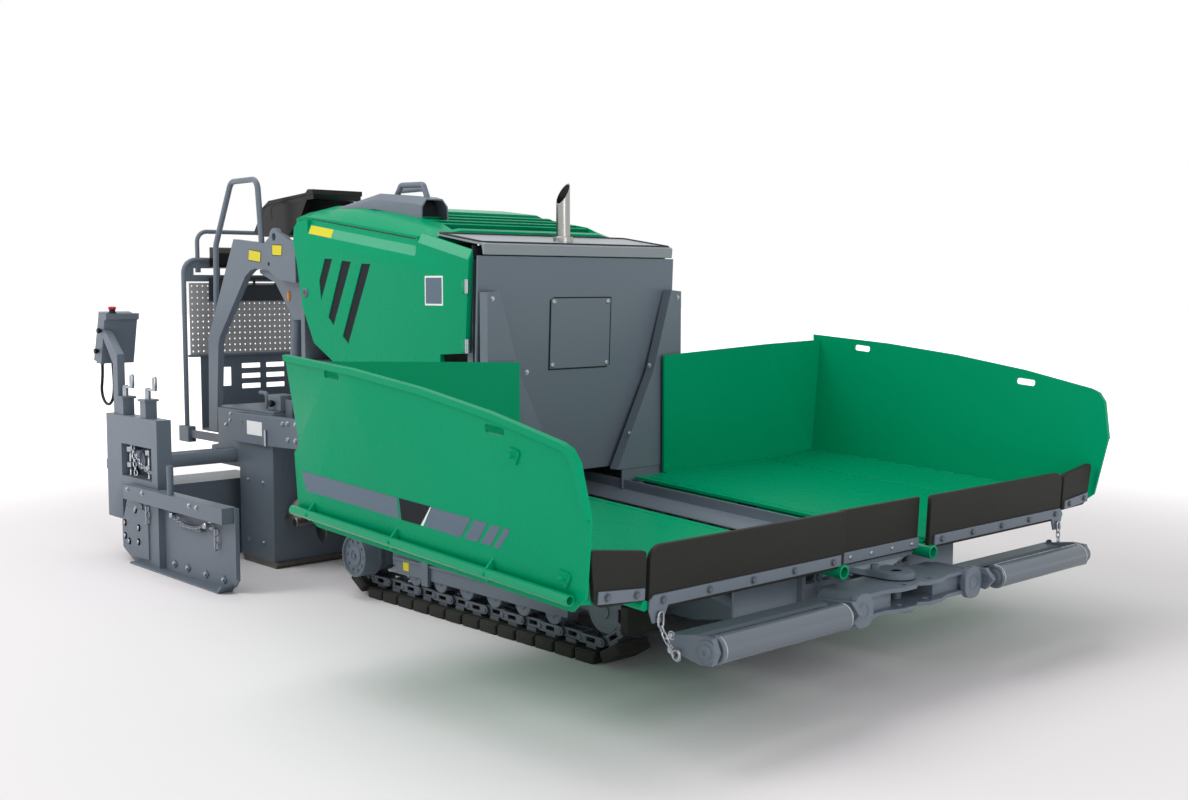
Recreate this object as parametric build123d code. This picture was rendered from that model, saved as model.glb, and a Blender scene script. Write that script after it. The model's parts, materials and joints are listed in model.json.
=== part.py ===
from build123d import *
import math
import os

os.makedirs("parts", exist_ok=True)

# Compact tracked asphalt paver, in millimetres. +X is forward (towards the hopper), +Y is left,
# +Z is up. The origin is on the ground, below the centre of the whole machine.
# Pieces of a left and right pair are modelled on the left (+Y) and mirrored.

# ---- Undercarriage ----
LINK_PITCH = 124.0          # pin to pin
STRAIGHT_LINKS = 13         # links between the two wheels, on each run
WRAP_LINKS = 3              # links that wrap half of each wheel
PIN_HEIGHT = 84.0           # ground to the pin line
PAD_WIDTH = 180.0
PAD_HEIGHT = 45.0
PAD_GAP = 9.0
LINK_HEIGHT = 40.0
CHAIN_WIDTH = 105.0
TRACK_HALF_WIDTH = 600.0    # centre of the machine to the pads' outer ends
SPROCKET_X = -346.0
ROLLER_COUNT = 6
ROLLER_RADIUS = 52.0
ROLLER_PITCH = 195.0
FIRST_ROLLER_X = 0.0
SKIN_GAP = 0.4              # between curved faces that run on each other
DRUM_RADIUS = 100.0
DRUM_LENGTH = 80.0
DRUM_PROUD = 60.0           # beyond the pads' outer ends

# ---- Hopper ----
FLOOR_SLOPE = 0.05          # the hopper's floor drops towards the front
FLOOR_HEIGHT = 631.0        # floor's upper face above the origin
SHEET = 12.0
HOPPER_REAR_X = 600.0
HOPPER_FRONT_X = 2215.0
HINGE_Y = 275.0
HINGE_DROP = 45.0           # hinge pin below the floor's upper face
FLOOR_INNER_Y = 252.0
FLOOR_OUTER_Y = 1190.0
WALL_FOOT_Y = 1497.0
STRIP_RISE = 36.0           # the outer strip of the floor climbs to the wall
WALL_LEAN = 5.2             # degrees outwards
WALL_REAR_HEIGHT = 632.0
WALL_MID_HEIGHT = 600.0
WALL_FRONT_HEIGHT = 512.0
REAR_WALL_INNER_Y = 440.0
REAR_WALL_INNER_TOP = 1158.0
REAR_WALL_BEND_Y = 1195.0
REAR_WALL_TURN = 38.0        # forward step of the rear wall's outer edge
PIPE_RADIUS = 17.0
PIPE_HEIGHT = 42.0          # outer pipe above the floor's level
LIP_RADIUS = 11.0
KNUCKLE_RADIUS = 24.0
HINGE_PIN_RADIUS = 12.0
PIN_CLEARANCE = 0.4
SLOT_LENGTH = 96.0
SLOT_HEIGHT = 28.0

# ---- Conveyor ----
CONVEYOR_HALF = 222.0        # to the outside of the side guards
GUARD_SHEET = 8.0
GUARD_BEND = 60.0            # the guards bend inwards this far below the hopper's floor
GUARD_EDGE_Y = 118.0         # inner edge of the guards, over the chain
GUARD_EDGE_DROP = 98.0
DECK_DROP = 120.0           # deck below the hopper floor's upper face
BAR_PITCH = 125.0
BAR_HEIGHT = 16.0
BAR_WIDTH = 22.0
CONVEYOR_REAR_X = -905.0
CONVEYOR_FRONT_X = 2040.0

FLAP_BACK_X = HOPPER_FRONT_X - 18   # along the slope, where the rubber flaps meet the floor
APRON_BACK_X = FLAP_BACK_X - 44     # back plate of the centre flap

# ---- Chassis ----
SIDE_PLATE = 20.0
CHASSIS_HALF = 330.0
CHASSIS_BOTTOM = 190.0
NOSE_BOTTOM = 290.0
CHASSIS_REAR_X = -930.0
CHASSIS_FRONT_X = 2080.0
CHASSIS_STEP_X = 470.0     # the side plates step down here for the hopper

# ---- Push beam ----
BEAM_PIN_X = 2250.0
ROLLER_AXIS_X = 2370.0
ROLLER_AXIS_Z = 375.0
PUSH_ROLLER_RADIUS = 47.0
PUSH_ROLLER_INNER = 440.0
PUSH_ROLLER_OUTER = 1112.0
AXLE_RADIUS = 16.0
HOUSING_Y = 340.0
HOUSING_RADIUS = 48.0
YOKE_PLATE = 14.0
YOKE_HALF_HEIGHT = 30.0
TONGUE_THICK = 22.0
TONGUE_HALF = 70.0
YOKE_GAP = 5.0
BEAM_PIN_RADIUS = 20.0
TOW_BORE_RADIUS = 16.0
END_PLATE = 22.0

# ---- Engine housing ----
HOUSING_HALF = 600.0
DOOR_THICK = 24.0
PANEL_X = 530.0
PANEL_TOP = 1613.0
PANEL_BOTTOM = 640.0
PANEL_LEAN = 2.4            # degrees, the foot further back
PANEL_HALF = 590.0
DEFLECTOR_FRONT_X = 586.0
DEFLECTOR_SHEET = 8.0
LID_FRONT_Z = 1668.0
LID_REAR_Z = 1716.0
LID_REAR_X = 205.0
EXHAUST_X = 400.0
EXHAUST_RADIUS = 32.0
EXHAUST_TOP = 1960.0
DOOR_HINGE_X = 470.0
DOOR_HINGE_Y = 606.0
DOOR_HINGE_RADIUS = 9.0
HOOD_REAR_X = -985.0
BED_Z = 670.0
BED_THICK = 30.0
TUNNEL_HALF = 310.0         # conveyor tunnel under the engine
TUNNEL_ROOF = 800.0
BAY_BOTTOM = 1130.0

# ---- Rear station ----
ARCH_Y = 527.0               # inner face of the arch's box section
ARCH_PLATE = 36.0
EYE_PLATE = 26.0             # lifting plate, outside the box section
EYE_X = -1198.0
EYE_Z = 1735.0
EYE_RADIUS = 46.0
EYE_BORE = 20.0
HOOP_RADIUS = 17.0
GUARD_X = -2235.0
GUARD_INSET = 20.0          # guard is narrower than the screed on each side
BRACKET_Y = 300.0
BOX_OFFSET = 22.0            # guard's rail to the back of the tool box

# ---- Screed ----
SCREED_HALF = 600.0
SCREED_FRONT_X = -1220.0
SCREED_REAR_X = -1820.0
SCREED_TOP = 815.0
SCREED_SKIRT_TOP = 520.0
SCREED_CLEAR = 35.0         # body above the ground
SOLE_THICK = 12.0
TOW_PIN_X = 330.0
TOW_PIN_Z = 760.0
TOW_ARM_THICK = 22.0
TOW_ARM_GAP = 10.0          # arms pass outside the screed and the tracks
TOW_ARM_REAR_X = -1600.0     # ahead of the end boxes, which slide in behind it
TUBE_RADIUS = 38.0
TUBE_X = -1640.0
TUBE_Z = 566.0
SLIDE_CLEARANCE = 0.5
EXTENSION_INNER = 362.0
END_BOX_INNER = 968.0
END_BOX_OUTER = 1050.0
END_BOX_REAR_X = -2250.0
END_BOX_FRONT_X = -1620.0
GATE_OUTER = 1100.0
GATE_REAR_X = -2030.0
GATE_FRONT_X = -845.0

# ---- Control panels and their cable ----
PANEL_FOOT = 1050.0
CABLE_DIAMETER = 13.0
GLAND_LENGTH = 8.0
GLAND_RADIUS = 11.0
CABLE_ROUTE = (    # x and z of the loop's points, from the gland in the box's foot to the one under its arm
    (-2378, PANEL_FOOT - GLAND_LENGTH), (-2378, 997), (-2387, 949), (-2399, 902), (-2384, 857), (-2345, 826),
    (-2295, 823), (-2253, 850), (-2233, 896), (-2228, 946), (-2231, 996), (-2239, 1048), (-2239, 1096),
)

# ---- Screed lift cylinders ----
LIFT_X = -1120.0             # barrel's pin, on the arch
LIFT_EYE_X = -1190.0         # rod's eye, on the screed
LIFT_Y = 488.0
LIFT_PIN_Z = 868.0
LIFT_TOP_Z = 1440.0
LIFT_PIN_RADIUS = 9.0
LIFT_BARREL_RADIUS = 30.0
LIFT_BARREL_LENGTH = 400.0

# ---- Wing cylinders ----
FOLD_X = 1850.0
FOLD_BASE = (372.0, 300.0)      # y and z of the barrel's pin
FOLD_EYE_Y = 750.0
FOLD_EYE_DROP = 46.0            # below the floor's upper face
FOLD_BARREL_RADIUS = 27.0
FOLD_ROD_RADIUS = 14.0
FOLD_PIN_RADIUS = 10.0
FOLD_BARREL_LENGTH = 262.0

# ---- Auger ----
AUGER_X = -1075.0
AUGER_Z = 262.0
AUGER_RADIUS = 122.0
AUGER_SHAFT = 24.0
AUGER_PITCH = 190.0
AUGER_INNER = 45.0
AUGER_OUTER = 560.0
FLIGHT_THICK = 12.0

SLOPE_ANGLE = math.degrees(math.atan(FLOOR_SLOPE))
WHEEL_BASE = STRAIGHT_LINKS * LINK_PITCH
TOW_ARM_Y = max(SCREED_HALF, TRACK_HALF_WIDTH) + TOW_ARM_GAP
GUARD_HALF = SCREED_HALF - GUARD_INSET
IDLER_X = SPROCKET_X + WHEEL_BASE
WRAP_RADIUS = LINK_PITCH / (2 * math.sin(math.pi / (2 * WRAP_LINKS)))
AXLE_HEIGHT = PIN_HEIGHT + WRAP_RADIUS
CHAIN_Y = TRACK_HALF_WIDTH - PAD_WIDTH / 2
WHEEL_RADIUS = WRAP_RADIUS * math.cos(math.pi / (2 * WRAP_LINKS)) - LINK_HEIGHT / 2 - SKIN_GAP
SLOPE = Location((0, 0, FLOOR_HEIGHT), (0, SLOPE_ANGLE, 0))


# ---- Shapes shared by all pieces ----
def block(x0, x1, y0, y1, z0, z1):
    """A box between two corners."""
    size = (x1 - x0, y1 - y0, z1 - z0)
    return Pos((x0 + x1) / 2, (y0 + y1) / 2, (z0 + z1) / 2) * Box(*size)


def side_plate(outline, y0, y1):
    """A plate with an outline of (x, z) points, from y0 to y1."""
    face = make_face(Polyline([(x, y0, z) for x, z in outline], close=True))
    return extrude(face, amount=y1 - y0, dir=(0, 1, 0))


def cross_plate(outline, x0, x1):
    """A plate with an outline of (y, z) points, from x0 to x1."""
    face = make_face(Polyline([(x0, y, z) for y, z in outline], close=True))
    return extrude(face, amount=x1 - x0, dir=(1, 0, 0))


def flat_plate(outline, z0, z1):
    """A plate with an outline of (x, y) points, from z0 to z1."""
    face = make_face(Polyline([(x, y, z0) for x, y in outline], close=True))
    return extrude(face, amount=z1 - z0, dir=(0, 0, 1))


def rod(start, end, radius):
    """A round bar between two points."""
    line = Line(start, end)
    return sweep(Plane(origin=start, z_dir=line % 0) * Circle(radius), path=line)


def bar(start, end, radius, sides=8):
    """A bar of many flat sides between two points, for a round piece that nothing turns on."""
    line = Line(start, end)
    return sweep(Plane(origin=start, z_dir=line % 0) * RegularPolygon(radius, sides), path=line)


def tube(start, end, radius, hole, sides=14):
    """A tube of many flat sides."""
    return bar(start, end, radius, sides) - bar(start, end, hole, sides)


def bore(start, end, radius, sides=12):
    """A hole of many flat sides whose sides lie at radius, so that a pin turns in it."""
    return bar(start, end, radius / math.cos(math.pi / sides), sides)


def skin(sections):
    """A solid through rings of points, closed by flat triangles and two flat ends."""
    faces = [Face(Wire.make_polygon(ring, close=True)) for ring in (sections[0], sections[-1])]
    for a, b in zip(sections, sections[1:]):
        for i in range(len(a)):
            j = (i + 1) % len(a)
            faces.append(Face(Wire.make_polygon([a[i], a[j], b[j]], close=True)))
            faces.append(Face(Wire.make_polygon([a[i], b[j], b[i]], close=True)))
    return Solid(Shell(faces))


def bent_bar(points, bend, radius, sides=6, steps=2):
    """A tube of flat sides that follows points, each corner rounded in a few straight steps."""
    corners = [Vector(*p) for p in points]
    path = [corners[0]]
    for before, corner, after in zip(corners, corners[1:], corners[2:]):
        a, b = (before - corner).normalized(), (after - corner).normalized()
        half = math.radians(a.get_angle(b)) / 2
        centre = corner + (a + b).normalized() * (bend / math.sin(half))
        first, last = corner + a * (bend / math.tan(half)), corner + b * (bend / math.tan(half))
        u, v = first - centre, last - centre
        turn = math.pi - 2 * half
        for i in range(steps + 1):
            t = turn * i / steps
            path.append(centre + (u * math.sin(turn - t) + v * math.sin(t)) / math.sin(turn))
    path.append(corners[-1])
    line = Polyline(*[tuple(p) for p in path])
    section = Plane(origin=line @ 0, z_dir=line % 0) * RegularPolygon(radius, sides)
    return sweep(section, path=line, transition=Transition.RIGHT)


def fuse(pieces):
    """One solid from pieces that touch."""
    return pieces[0] + pieces[1:]


def mirrored(piece):
    """The same piece on the other side of the machine."""
    return mirror(piece, about=Plane.XZ)


nodes = {}


def pair(name, piece):
    """A piece on the left and its mirror image on the right."""
    nodes["left_" + name] = piece
    nodes["right_" + name] = mirrored(piece)


def both(name, piece):
    """A piece and its mirror image, as one node."""
    nodes[name] = Compound(children=[piece, mirrored(piece)])


# ---- Tracks: one fixed loop of links and pads on each side ----
def link_places():
    """Middle point and direction, in degrees, of every link of the loop, in the XZ plane."""
    places = []
    half_turn = 180.0 / WRAP_LINKS
    chord = WRAP_RADIUS * math.cos(math.pi / (2 * WRAP_LINKS))
    for i in range(STRAIGHT_LINKS):
        x = SPROCKET_X + (i + 0.5) * LINK_PITCH
        places.append((x, PIN_HEIGHT, 0.0))
        places.append((x, 2 * AXLE_HEIGHT - PIN_HEIGHT, 180.0))
    for i in range(WRAP_LINKS):
        turn = (i + 0.5) * half_turn
        for wheel_x, heading in ((IDLER_X, turn), (SPROCKET_X, 180.0 + turn)):
            angle = math.radians(heading - 90.0)
            places.append((wheel_x + chord * math.cos(angle), AXLE_HEIGHT + chord * math.sin(angle), heading))
    return places


def track():
    pad_length = LINK_PITCH - PAD_GAP
    outer = PIN_HEIGHT - PAD_HEIGHT
    pieces = []
    for x, z, heading in link_places():
        place = Location((x, 0, z), (0, -heading, 0))
        link = Rot(90, 0, 0) * extrude(SlotCenterToCenter(LINK_PITCH, LINK_HEIGHT), CHAIN_WIDTH / 2,
                                       both=True)
        foot = block(-LINK_PITCH / 4, LINK_PITCH / 4, -CHAIN_WIDTH / 2, CHAIN_WIDTH / 2, -outer - 1, 0)
        pad = block(-pad_length / 2, pad_length / 2, -PAD_WIDTH / 2, PAD_WIDTH / 2, -PIN_HEIGHT, -outer)
        pieces += [place * link, place * foot, place * pad]
    return Pos(0, CHAIN_Y, 0) * fuse(pieces)


pair("track", track())


def wheel(x, z, radius, y0, y1, sides=10):
    return bar((x, y0, z), (x, y1, z), radius, sides)


def track_frame():
    inner, outer = CHAIN_Y - 44, CHAIN_Y + 44
    roller_z = PIN_HEIGHT + LINK_HEIGHT / 2 + SKIN_GAP + ROLLER_RADIUS
    beam_bottom, beam_top = roller_z + 18, AXLE_HEIGHT + 50
    last_roller_x = FIRST_ROLLER_X + (ROLLER_COUNT - 1) * ROLLER_PITCH
    pieces = [block(FIRST_ROLLER_X - 190, last_roller_x + 130, inner, outer, beam_bottom, beam_top)]
    for i in range(ROLLER_COUNT):
        x = FIRST_ROLLER_X + i * ROLLER_PITCH
        pieces.append(wheel(x, roller_z, ROLLER_RADIUS, inner - 4, outer + 6))
        pieces.append(block(x - 22, x + 22, inner, outer + 12, roller_z - 12, beam_bottom + 6))
    pieces.append(block(last_roller_x + 100, IDLER_X, CHAIN_Y - 22, CHAIN_Y + 22,
                        AXLE_HEIGHT - 18, AXLE_HEIGHT + 18))
    pieces.append(wheel(IDLER_X, AXLE_HEIGHT, WHEEL_RADIUS, CHAIN_Y - 36, CHAIN_Y + 36, 18))
    carrier_radius = 30.0
    carrier_z = 2 * AXLE_HEIGHT - PIN_HEIGHT - LINK_HEIGHT / 2 - SKIN_GAP - carrier_radius
    pieces.append(wheel(FIRST_ROLLER_X + 2.5 * ROLLER_PITCH, carrier_z, carrier_radius, inner, outer))
    for x in (FIRST_ROLLER_X + ROLLER_PITCH / 2, last_roller_x - ROLLER_PITCH / 2):
        pieces.append(block(x - 60, x + 60, CHASSIS_HALF, inner + 5, beam_bottom, beam_top - 10))
    return fuse(pieces)


both("track_frames", track_frame())


def final_drive():
    pieces = [
        wheel(SPROCKET_X, AXLE_HEIGHT, WHEEL_RADIUS - 8, CHASSIS_HALF, CHAIN_Y - 20),
        wheel(SPROCKET_X, AXLE_HEIGHT, WHEEL_RADIUS, CHAIN_Y - 30, CHAIN_Y + 30, 18),
        wheel(SPROCKET_X, AXLE_HEIGHT, WHEEL_RADIUS - 12, CHAIN_Y, TRACK_HALF_WIDTH),
        wheel(SPROCKET_X, AXLE_HEIGHT, DRUM_RADIUS, TRACK_HALF_WIDTH + DRUM_PROUD - DRUM_LENGTH,
              TRACK_HALF_WIDTH + DRUM_PROUD, 20),
    ]
    return fuse(pieces)


both("final_drives", final_drive())


# ---- Chassis: two side plates, cross members and the nose that carries the push beam ----
def floor_z(x):
    """Height of the hopper floor's upper face at x."""
    return FLOOR_HEIGHT - FLOOR_SLOPE * x


def hinge_z(x):
    return floor_z(x) - HINGE_DROP * 1.001


KNUCKLE_STARTS = (660.0, 1250.0, 1900.0)    # first end of each chassis knuckle, along the slope
KNUCKLE_LENGTH = 90.0


def chassis():
    top_gap = KNUCKLE_RADIUS + 8
    outline = [
        (CHASSIS_REAR_X, CHASSIS_BOTTOM + 60),
        (CHASSIS_REAR_X + 80, CHASSIS_BOTTOM),
        (1550, CHASSIS_BOTTOM),
        (CHASSIS_FRONT_X, NOSE_BOTTOM),
        (CHASSIS_FRONT_X, hinge_z(CHASSIS_FRONT_X) - top_gap),
        (CHASSIS_STEP_X, hinge_z(HOPPER_REAR_X) - top_gap),
        (CHASSIS_STEP_X, BED_Z),
        (CHASSIS_REAR_X, BED_Z),
    ]
    inner = CHASSIS_HALF - SIDE_PLATE
    left = side_plate(outline, inner, CHASSIS_HALF)
    pieces = [left, mirrored(left)]
    for x in (-900, -250, 550, 1350):
        pieces.append(block(x, x + 90, -inner - 1, inner + 1, CHASSIS_BOTTOM + 10, CHASSIS_BOTTOM + 90))
    pieces.append(block(CHASSIS_FRONT_X - 30, CHASSIS_FRONT_X, -inner - 1, inner + 1, NOSE_BOTTOM, 412))
    pieces.append(block(CHASSIS_FRONT_X - 30, CHASSIS_FRONT_X, -TONGUE_HALF - 20, TONGUE_HALF + 20, 400, 446))
    pieces.append(block(-860, 1550, -inner - 1, inner + 1, CHASSIS_BOTTOM, CHASSIS_BOTTOM + 12))
    # tongue plates above and below the push beam's yoke, with the beam's pin
    reach = YOKE_HALF_HEIGHT + YOKE_PLATE + YOKE_GAP
    for low in (ROLLER_AXIS_Z + reach, ROLLER_AXIS_Z - reach - TONGUE_THICK):
        pieces.append(block(CHASSIS_FRONT_X - 20, BEAM_PIN_X, -TONGUE_HALF, TONGUE_HALF, low,
                            low + TONGUE_THICK))
        pieces.append(bar((BEAM_PIN_X, 0, low), (BEAM_PIN_X, 0, low + TONGUE_THICK), TONGUE_HALF, 16))
    pin_half = reach + TONGUE_THICK / 2
    pieces.append(rod((BEAM_PIN_X, 0, ROLLER_AXIS_Z - pin_half), (BEAM_PIN_X, 0, ROLLER_AXIS_Z + pin_half),
                      BEAM_PIN_RADIUS))
    body = fuse(pieces)
    # hinge knuckles and pins of the hopper wings
    for start in KNUCKLE_STARTS:
        knuckle = bar((start, HINGE_Y, -HINGE_DROP), (start + KNUCKLE_LENGTH, HINGE_Y, -HINGE_DROP),
                      KNUCKLE_RADIUS)
        web = block(start, start + KNUCKLE_LENGTH, HINGE_Y - 8, CHASSIS_HALF - 5, -HINGE_DROP - 62,
                    -HINGE_DROP - 12)
        part = SLOPE * (knuckle + web)
        body = body + part + mirrored(part)
    pin = SLOPE * (rod((KNUCKLE_STARTS[0] + 5, HINGE_Y, -HINGE_DROP),
                       (KNUCKLE_STARTS[1] + 5, HINGE_Y, -HINGE_DROP),
                       HINGE_PIN_RADIUS)
                   + bar((KNUCKLE_STARTS[1] + 5, HINGE_Y, -HINGE_DROP), (2180, HINGE_Y, -HINGE_DROP),
                         HINGE_PIN_RADIUS))
    return body + pin + mirrored(pin)


nodes["chassis"] = chassis()


# ---- Conveyor: deck with chain guards, and the feeder chain with its bars ----
def conveyor():
    """Deck between two guards, each an upright sheet that bends inwards over the chain."""
    outer, inner = CONVEYOR_HALF, CONVEYOR_HALF - GUARD_SHEET
    low = -DECK_DROP - 10
    deck = block(CONVEYOR_REAR_X, CONVEYOR_FRONT_X, -outer, outer, low, -DECK_DROP)
    upright = block(CONVEYOR_REAR_X, CONVEYOR_FRONT_X, inner, outer, low, -GUARD_BEND - 7)
    guard = upright + cross_plate([(outer, -GUARD_BEND - 7), (outer, -14), (inner, -14), (inner, -GUARD_BEND),
                                   (GUARD_EDGE_Y, -GUARD_EDGE_DROP + 6), (GUARD_EDGE_Y, -GUARD_EDGE_DROP),
                                   (inner, -GUARD_BEND - 7)], CONVEYOR_REAR_X, APRON_BACK_X)
    pieces = [deck, guard, mirrored(guard)]
    for x in (560, 1360):
        pieces.append(block(x, x + 60, -CHASSIS_HALF + SIDE_PLATE, CHASSIS_HALF - SIDE_PLATE,
                            -DECK_DROP - 40, -DECK_DROP - 5))
    return SLOPE * fuse(pieces)


nodes["conveyor"] = conveyor()


def feeder_chain():
    bottom = -DECK_DROP + SKIN_GAP
    chain_y = CONVEYOR_HALF - 65
    first, last = CONVEYOR_REAR_X + 40, CONVEYOR_FRONT_X - 40
    strand = block(first, last, chain_y - 12, chain_y + 12, bottom, bottom + BAR_HEIGHT + 8)
    pieces = [strand, mirrored(strand)]
    count = int((last - first) / BAR_PITCH)
    for i in range(count):
        x = first + (i + 0.5) * BAR_PITCH
        pieces.append(block(x, x + BAR_WIDTH, -chain_y, chain_y, bottom, bottom + BAR_HEIGHT))
    return SLOPE * fuse(pieces)


nodes["feeder_chain"] = feeder_chain()


# ---- Hopper wings ----
def wall_outline(inset):
    """Side wall's outline along the slope, drawn in by inset at its top edge."""
    top = [(HOPPER_REAR_X - 15, WALL_REAR_HEIGHT), (1050, 623), (1450, WALL_MID_HEIGHT), (1820, 563),
           (HOPPER_FRONT_X - 60, WALL_FRONT_HEIGHT)]
    nose = [(HOPPER_FRONT_X - 22 - inset / 2, WALL_FRONT_HEIGHT - 14 - inset * 0.9),
            (HOPPER_FRONT_X + 8 - inset, WALL_FRONT_HEIGHT - 50 - inset / 2),
            (HOPPER_FRONT_X + 47 - inset, 298), (HOPPER_FRONT_X + 12, 52), (HOPPER_FRONT_X - 48, 0),
            (HOPPER_REAR_X + 140, -4), (HOPPER_REAR_X + 62, 20), (HOPPER_REAR_X + 40, 315)]
    points = [(x, 0, z - inset) for x, z in top] + [(x, 0, z) for x, z in nose]
    return make_face(Polyline(*points, close=True))


WALL_PLACE = Location((0, WALL_FOOT_Y, 0), (-WALL_LEAN, 0, 0))


def wing():
    rear, front = HOPPER_REAR_X + 14, FLAP_BACK_X
    floor = block(rear, front, FLOOR_INNER_Y, FLOOR_OUTER_Y + 2, -SHEET, 0)
    floor -= block(APRON_BACK_X - 6, front + 1, FLOOR_INNER_Y - 1, FLOOR_INNER_Y + 38, -SHEET - 1, 1)
    strip_angle = math.degrees(math.atan2(STRIP_RISE, WALL_FOOT_Y - FLOOR_OUTER_Y))
    strip_width = math.hypot(STRIP_RISE, WALL_FOOT_Y - FLOOR_OUTER_Y) + 4
    strip = Pos(0, FLOOR_OUTER_Y, -SHEET) * Rot(strip_angle, 0, 0) * block(rear, front, 0, strip_width, 0,
                                                                           SHEET)
    wall = extrude(wall_outline(0), amount=SHEET, dir=(0, 1, 0))
    band = extrude(wall_outline(0) - wall_outline(2 * LIP_RADIUS), amount=2 * LIP_RADIUS, dir=(0, 1, 0))
    band = band & block(HOPPER_REAR_X - 20, HOPPER_FRONT_X + 60, -5, 60, 300, 700)
    flange = side_plate(
        [(HOPPER_REAR_X + 4, 42), (HOPPER_REAR_X + 4, 262), (HOPPER_REAR_X + 74, 322),
         (HOPPER_REAR_X + 74, 42)],
        0, SHEET)
    slots = []
    for x, height in ((905.0, 585.0), (1835.0, 508.0)):
        long, short = SLOT_LENGTH / 2, SLOT_HEIGHT / 2
        slot = side_plate([(-long, -short / 2), (-long + short / 2, -short), (long - short / 2, -short),
                           (long, -short / 2), (long, short / 2), (long - short / 2, short),
                           (-long + short / 2, short), (-long, short / 2)], -40, 40)
        slots.append(Pos(x, 0, height) * Rot(0, 2, 0) * slot)
    side = WALL_PLACE * ((wall + band + flange) - slots)
    pipe_y = WALL_FOOT_Y + SHEET + PIPE_RADIUS + 10
    outer_pipe = tube((rear - 10, pipe_y, PIPE_HEIGHT), (front - 10, pipe_y, PIPE_HEIGHT),
                      PIPE_RADIUS, PIPE_RADIUS - 5, 14)
    pieces = [floor, strip, side, outer_pipe]
    for x in (HOPPER_REAR_X + 120, HOPPER_REAR_X + 660, HOPPER_REAR_X + 1190):
        gusset = cross_plate([(WALL_FOOT_Y + 4, 8), (pipe_y, PIPE_HEIGHT - PIPE_RADIUS - 7),
                              (pipe_y + PIPE_RADIUS + 7, PIPE_HEIGHT),
                              (pipe_y, PIPE_HEIGHT + PIPE_RADIUS + 9),
                              (WALL_FOOT_Y + 14, 95)], x, x + 10)
        pieces.append(gusset - bar((x - 5, pipe_y, PIPE_HEIGHT), (x + 15, pipe_y, PIPE_HEIGHT),
                                   PIPE_RADIUS - 1, 10))
    pieces.append(bar((rear, FLOOR_OUTER_Y + 60, -14), (front + 16, FLOOR_OUTER_Y + 60, -14), PIPE_RADIUS,
                      10))
    # knuckles between those of the chassis
    edges = [*KNUCKLE_STARTS, 2190.0]
    for start, following in zip(edges, edges[1:]):
        first, last = start + KNUCKLE_LENGTH + 6, following - 6
        barrel = bar((first, HINGE_Y, -HINGE_DROP), (last, HINGE_Y, -HINGE_DROP), KNUCKLE_RADIUS)
        web = block(first, last, HINGE_Y - 10, HINGE_Y + 10, -HINGE_DROP, -SHEET + 2)
        hole = bore((first - 1, HINGE_Y, -HINGE_DROP), (last + 1, HINGE_Y, -HINGE_DROP),
                    HINGE_PIN_RADIUS + PIN_CLEARANCE)
        pieces.append((barrel + web) - hole)
    # rear wall, upright; its outer part turns forward to meet the side wall
    foot = floor_z(HOPPER_REAR_X) - SHEET / 2
    lean = math.tan(math.radians(WALL_LEAN))
    wall_top = foot + WALL_REAR_HEIGHT - 24
    edge_y = WALL_FOOT_Y + 4
    bend = REAR_WALL_BEND_Y
    bend_top = wall_top + (REAR_WALL_INNER_TOP - wall_top) * (edge_y - bend) / (edge_y - REAR_WALL_INNER_Y)
    x0 = HOPPER_REAR_X + 8
    inner_wall = cross_plate([(REAR_WALL_INNER_Y, foot), (bend, foot), (bend, bend_top),
                              (REAR_WALL_INNER_Y, REAR_WALL_INNER_TOP)], x0, x0 + SHEET)
    top_y = edge_y + lean * WALL_REAR_HEIGHT - 4
    turn = REAR_WALL_TURN
    slant = turn / (edge_y - bend + 1)
    corners = [(bend - 1, foot), (edge_y, foot + STRIP_RISE - 2), (top_y, wall_top), (bend - 1, bend_top)]
    outer_wall = skin([[(x + slant * (y - bend + 1), y, z) for y, z in corners] for x in (x0, x0 + SHEET)])
    pad = block(HOPPER_REAR_X + 6, HOPPER_REAR_X + 40, REAR_WALL_INNER_Y, bend, foot, foot + SHEET)
    return SLOPE * fuse(pieces) + inner_wall + outer_wall + pad


pair("wing", wing())

FLAP_THICK = 20.0
FLAP_TOP = 172.0
STRIP_THICK = 8.0
STRIP_HEIGHT = 44.0


def wing_flaps():
    long_flap = cross_plate([(262, -34), (1216, -34), (1232, -18), (1236, FLAP_TOP - 40), (1200, FLAP_TOP),
                             (262, FLAP_TOP)], FLAP_BACK_X, FLAP_BACK_X + FLAP_THICK)
    short_flap = cross_plate([(1250, 8), (1440, 14), (1482, 40), (1486, 190), (1290, 168), (1252, 150)],
                             FLAP_BACK_X, FLAP_BACK_X + FLAP_THICK)
    return SLOPE * (long_flap + short_flap)


def flap_strips():
    x0 = FLAP_BACK_X + FLAP_THICK
    long_strip = cross_plate([(290, -22), (290, 18), (1222, 18), (1240, 0), (1240, -30), (1222, -72),
                              (1180, -72),
                              (1158, -22)], x0, x0 + STRIP_THICK)
    short_strip = cross_plate([(1262, 8), (1262, 46), (1455, 64), (1455, 24)], x0, x0 + STRIP_THICK)
    return SLOPE * (long_strip + short_strip)


pair("wing_flaps", wing_flaps())
pair("flap_strips", flap_strips())


def centre_flap():
    top = FLAP_TOP - 8
    half = FLOOR_INNER_Y - 14
    outline = [(-half, -40), (half, -40), (half, top), (-half, top)]
    return SLOPE * cross_plate(outline, APRON_BACK_X + 10, APRON_BACK_X + 28)


nodes["centre_flap"] = centre_flap()


def centre_strip():
    half = FLOOR_INNER_Y - 16
    x0 = APRON_BACK_X + 28
    bar = cross_plate([(-half, -32), (half, -32), (half, 10), (-half, 10)], x0, x0 + STRIP_THICK)
    back = cross_plate([(-half, -62), (half, -62), (half, 20), (-half, 20)], APRON_BACK_X, APRON_BACK_X + 10)
    return SLOPE * (bar + back)


nodes["centre_strip"] = centre_strip()


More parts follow.
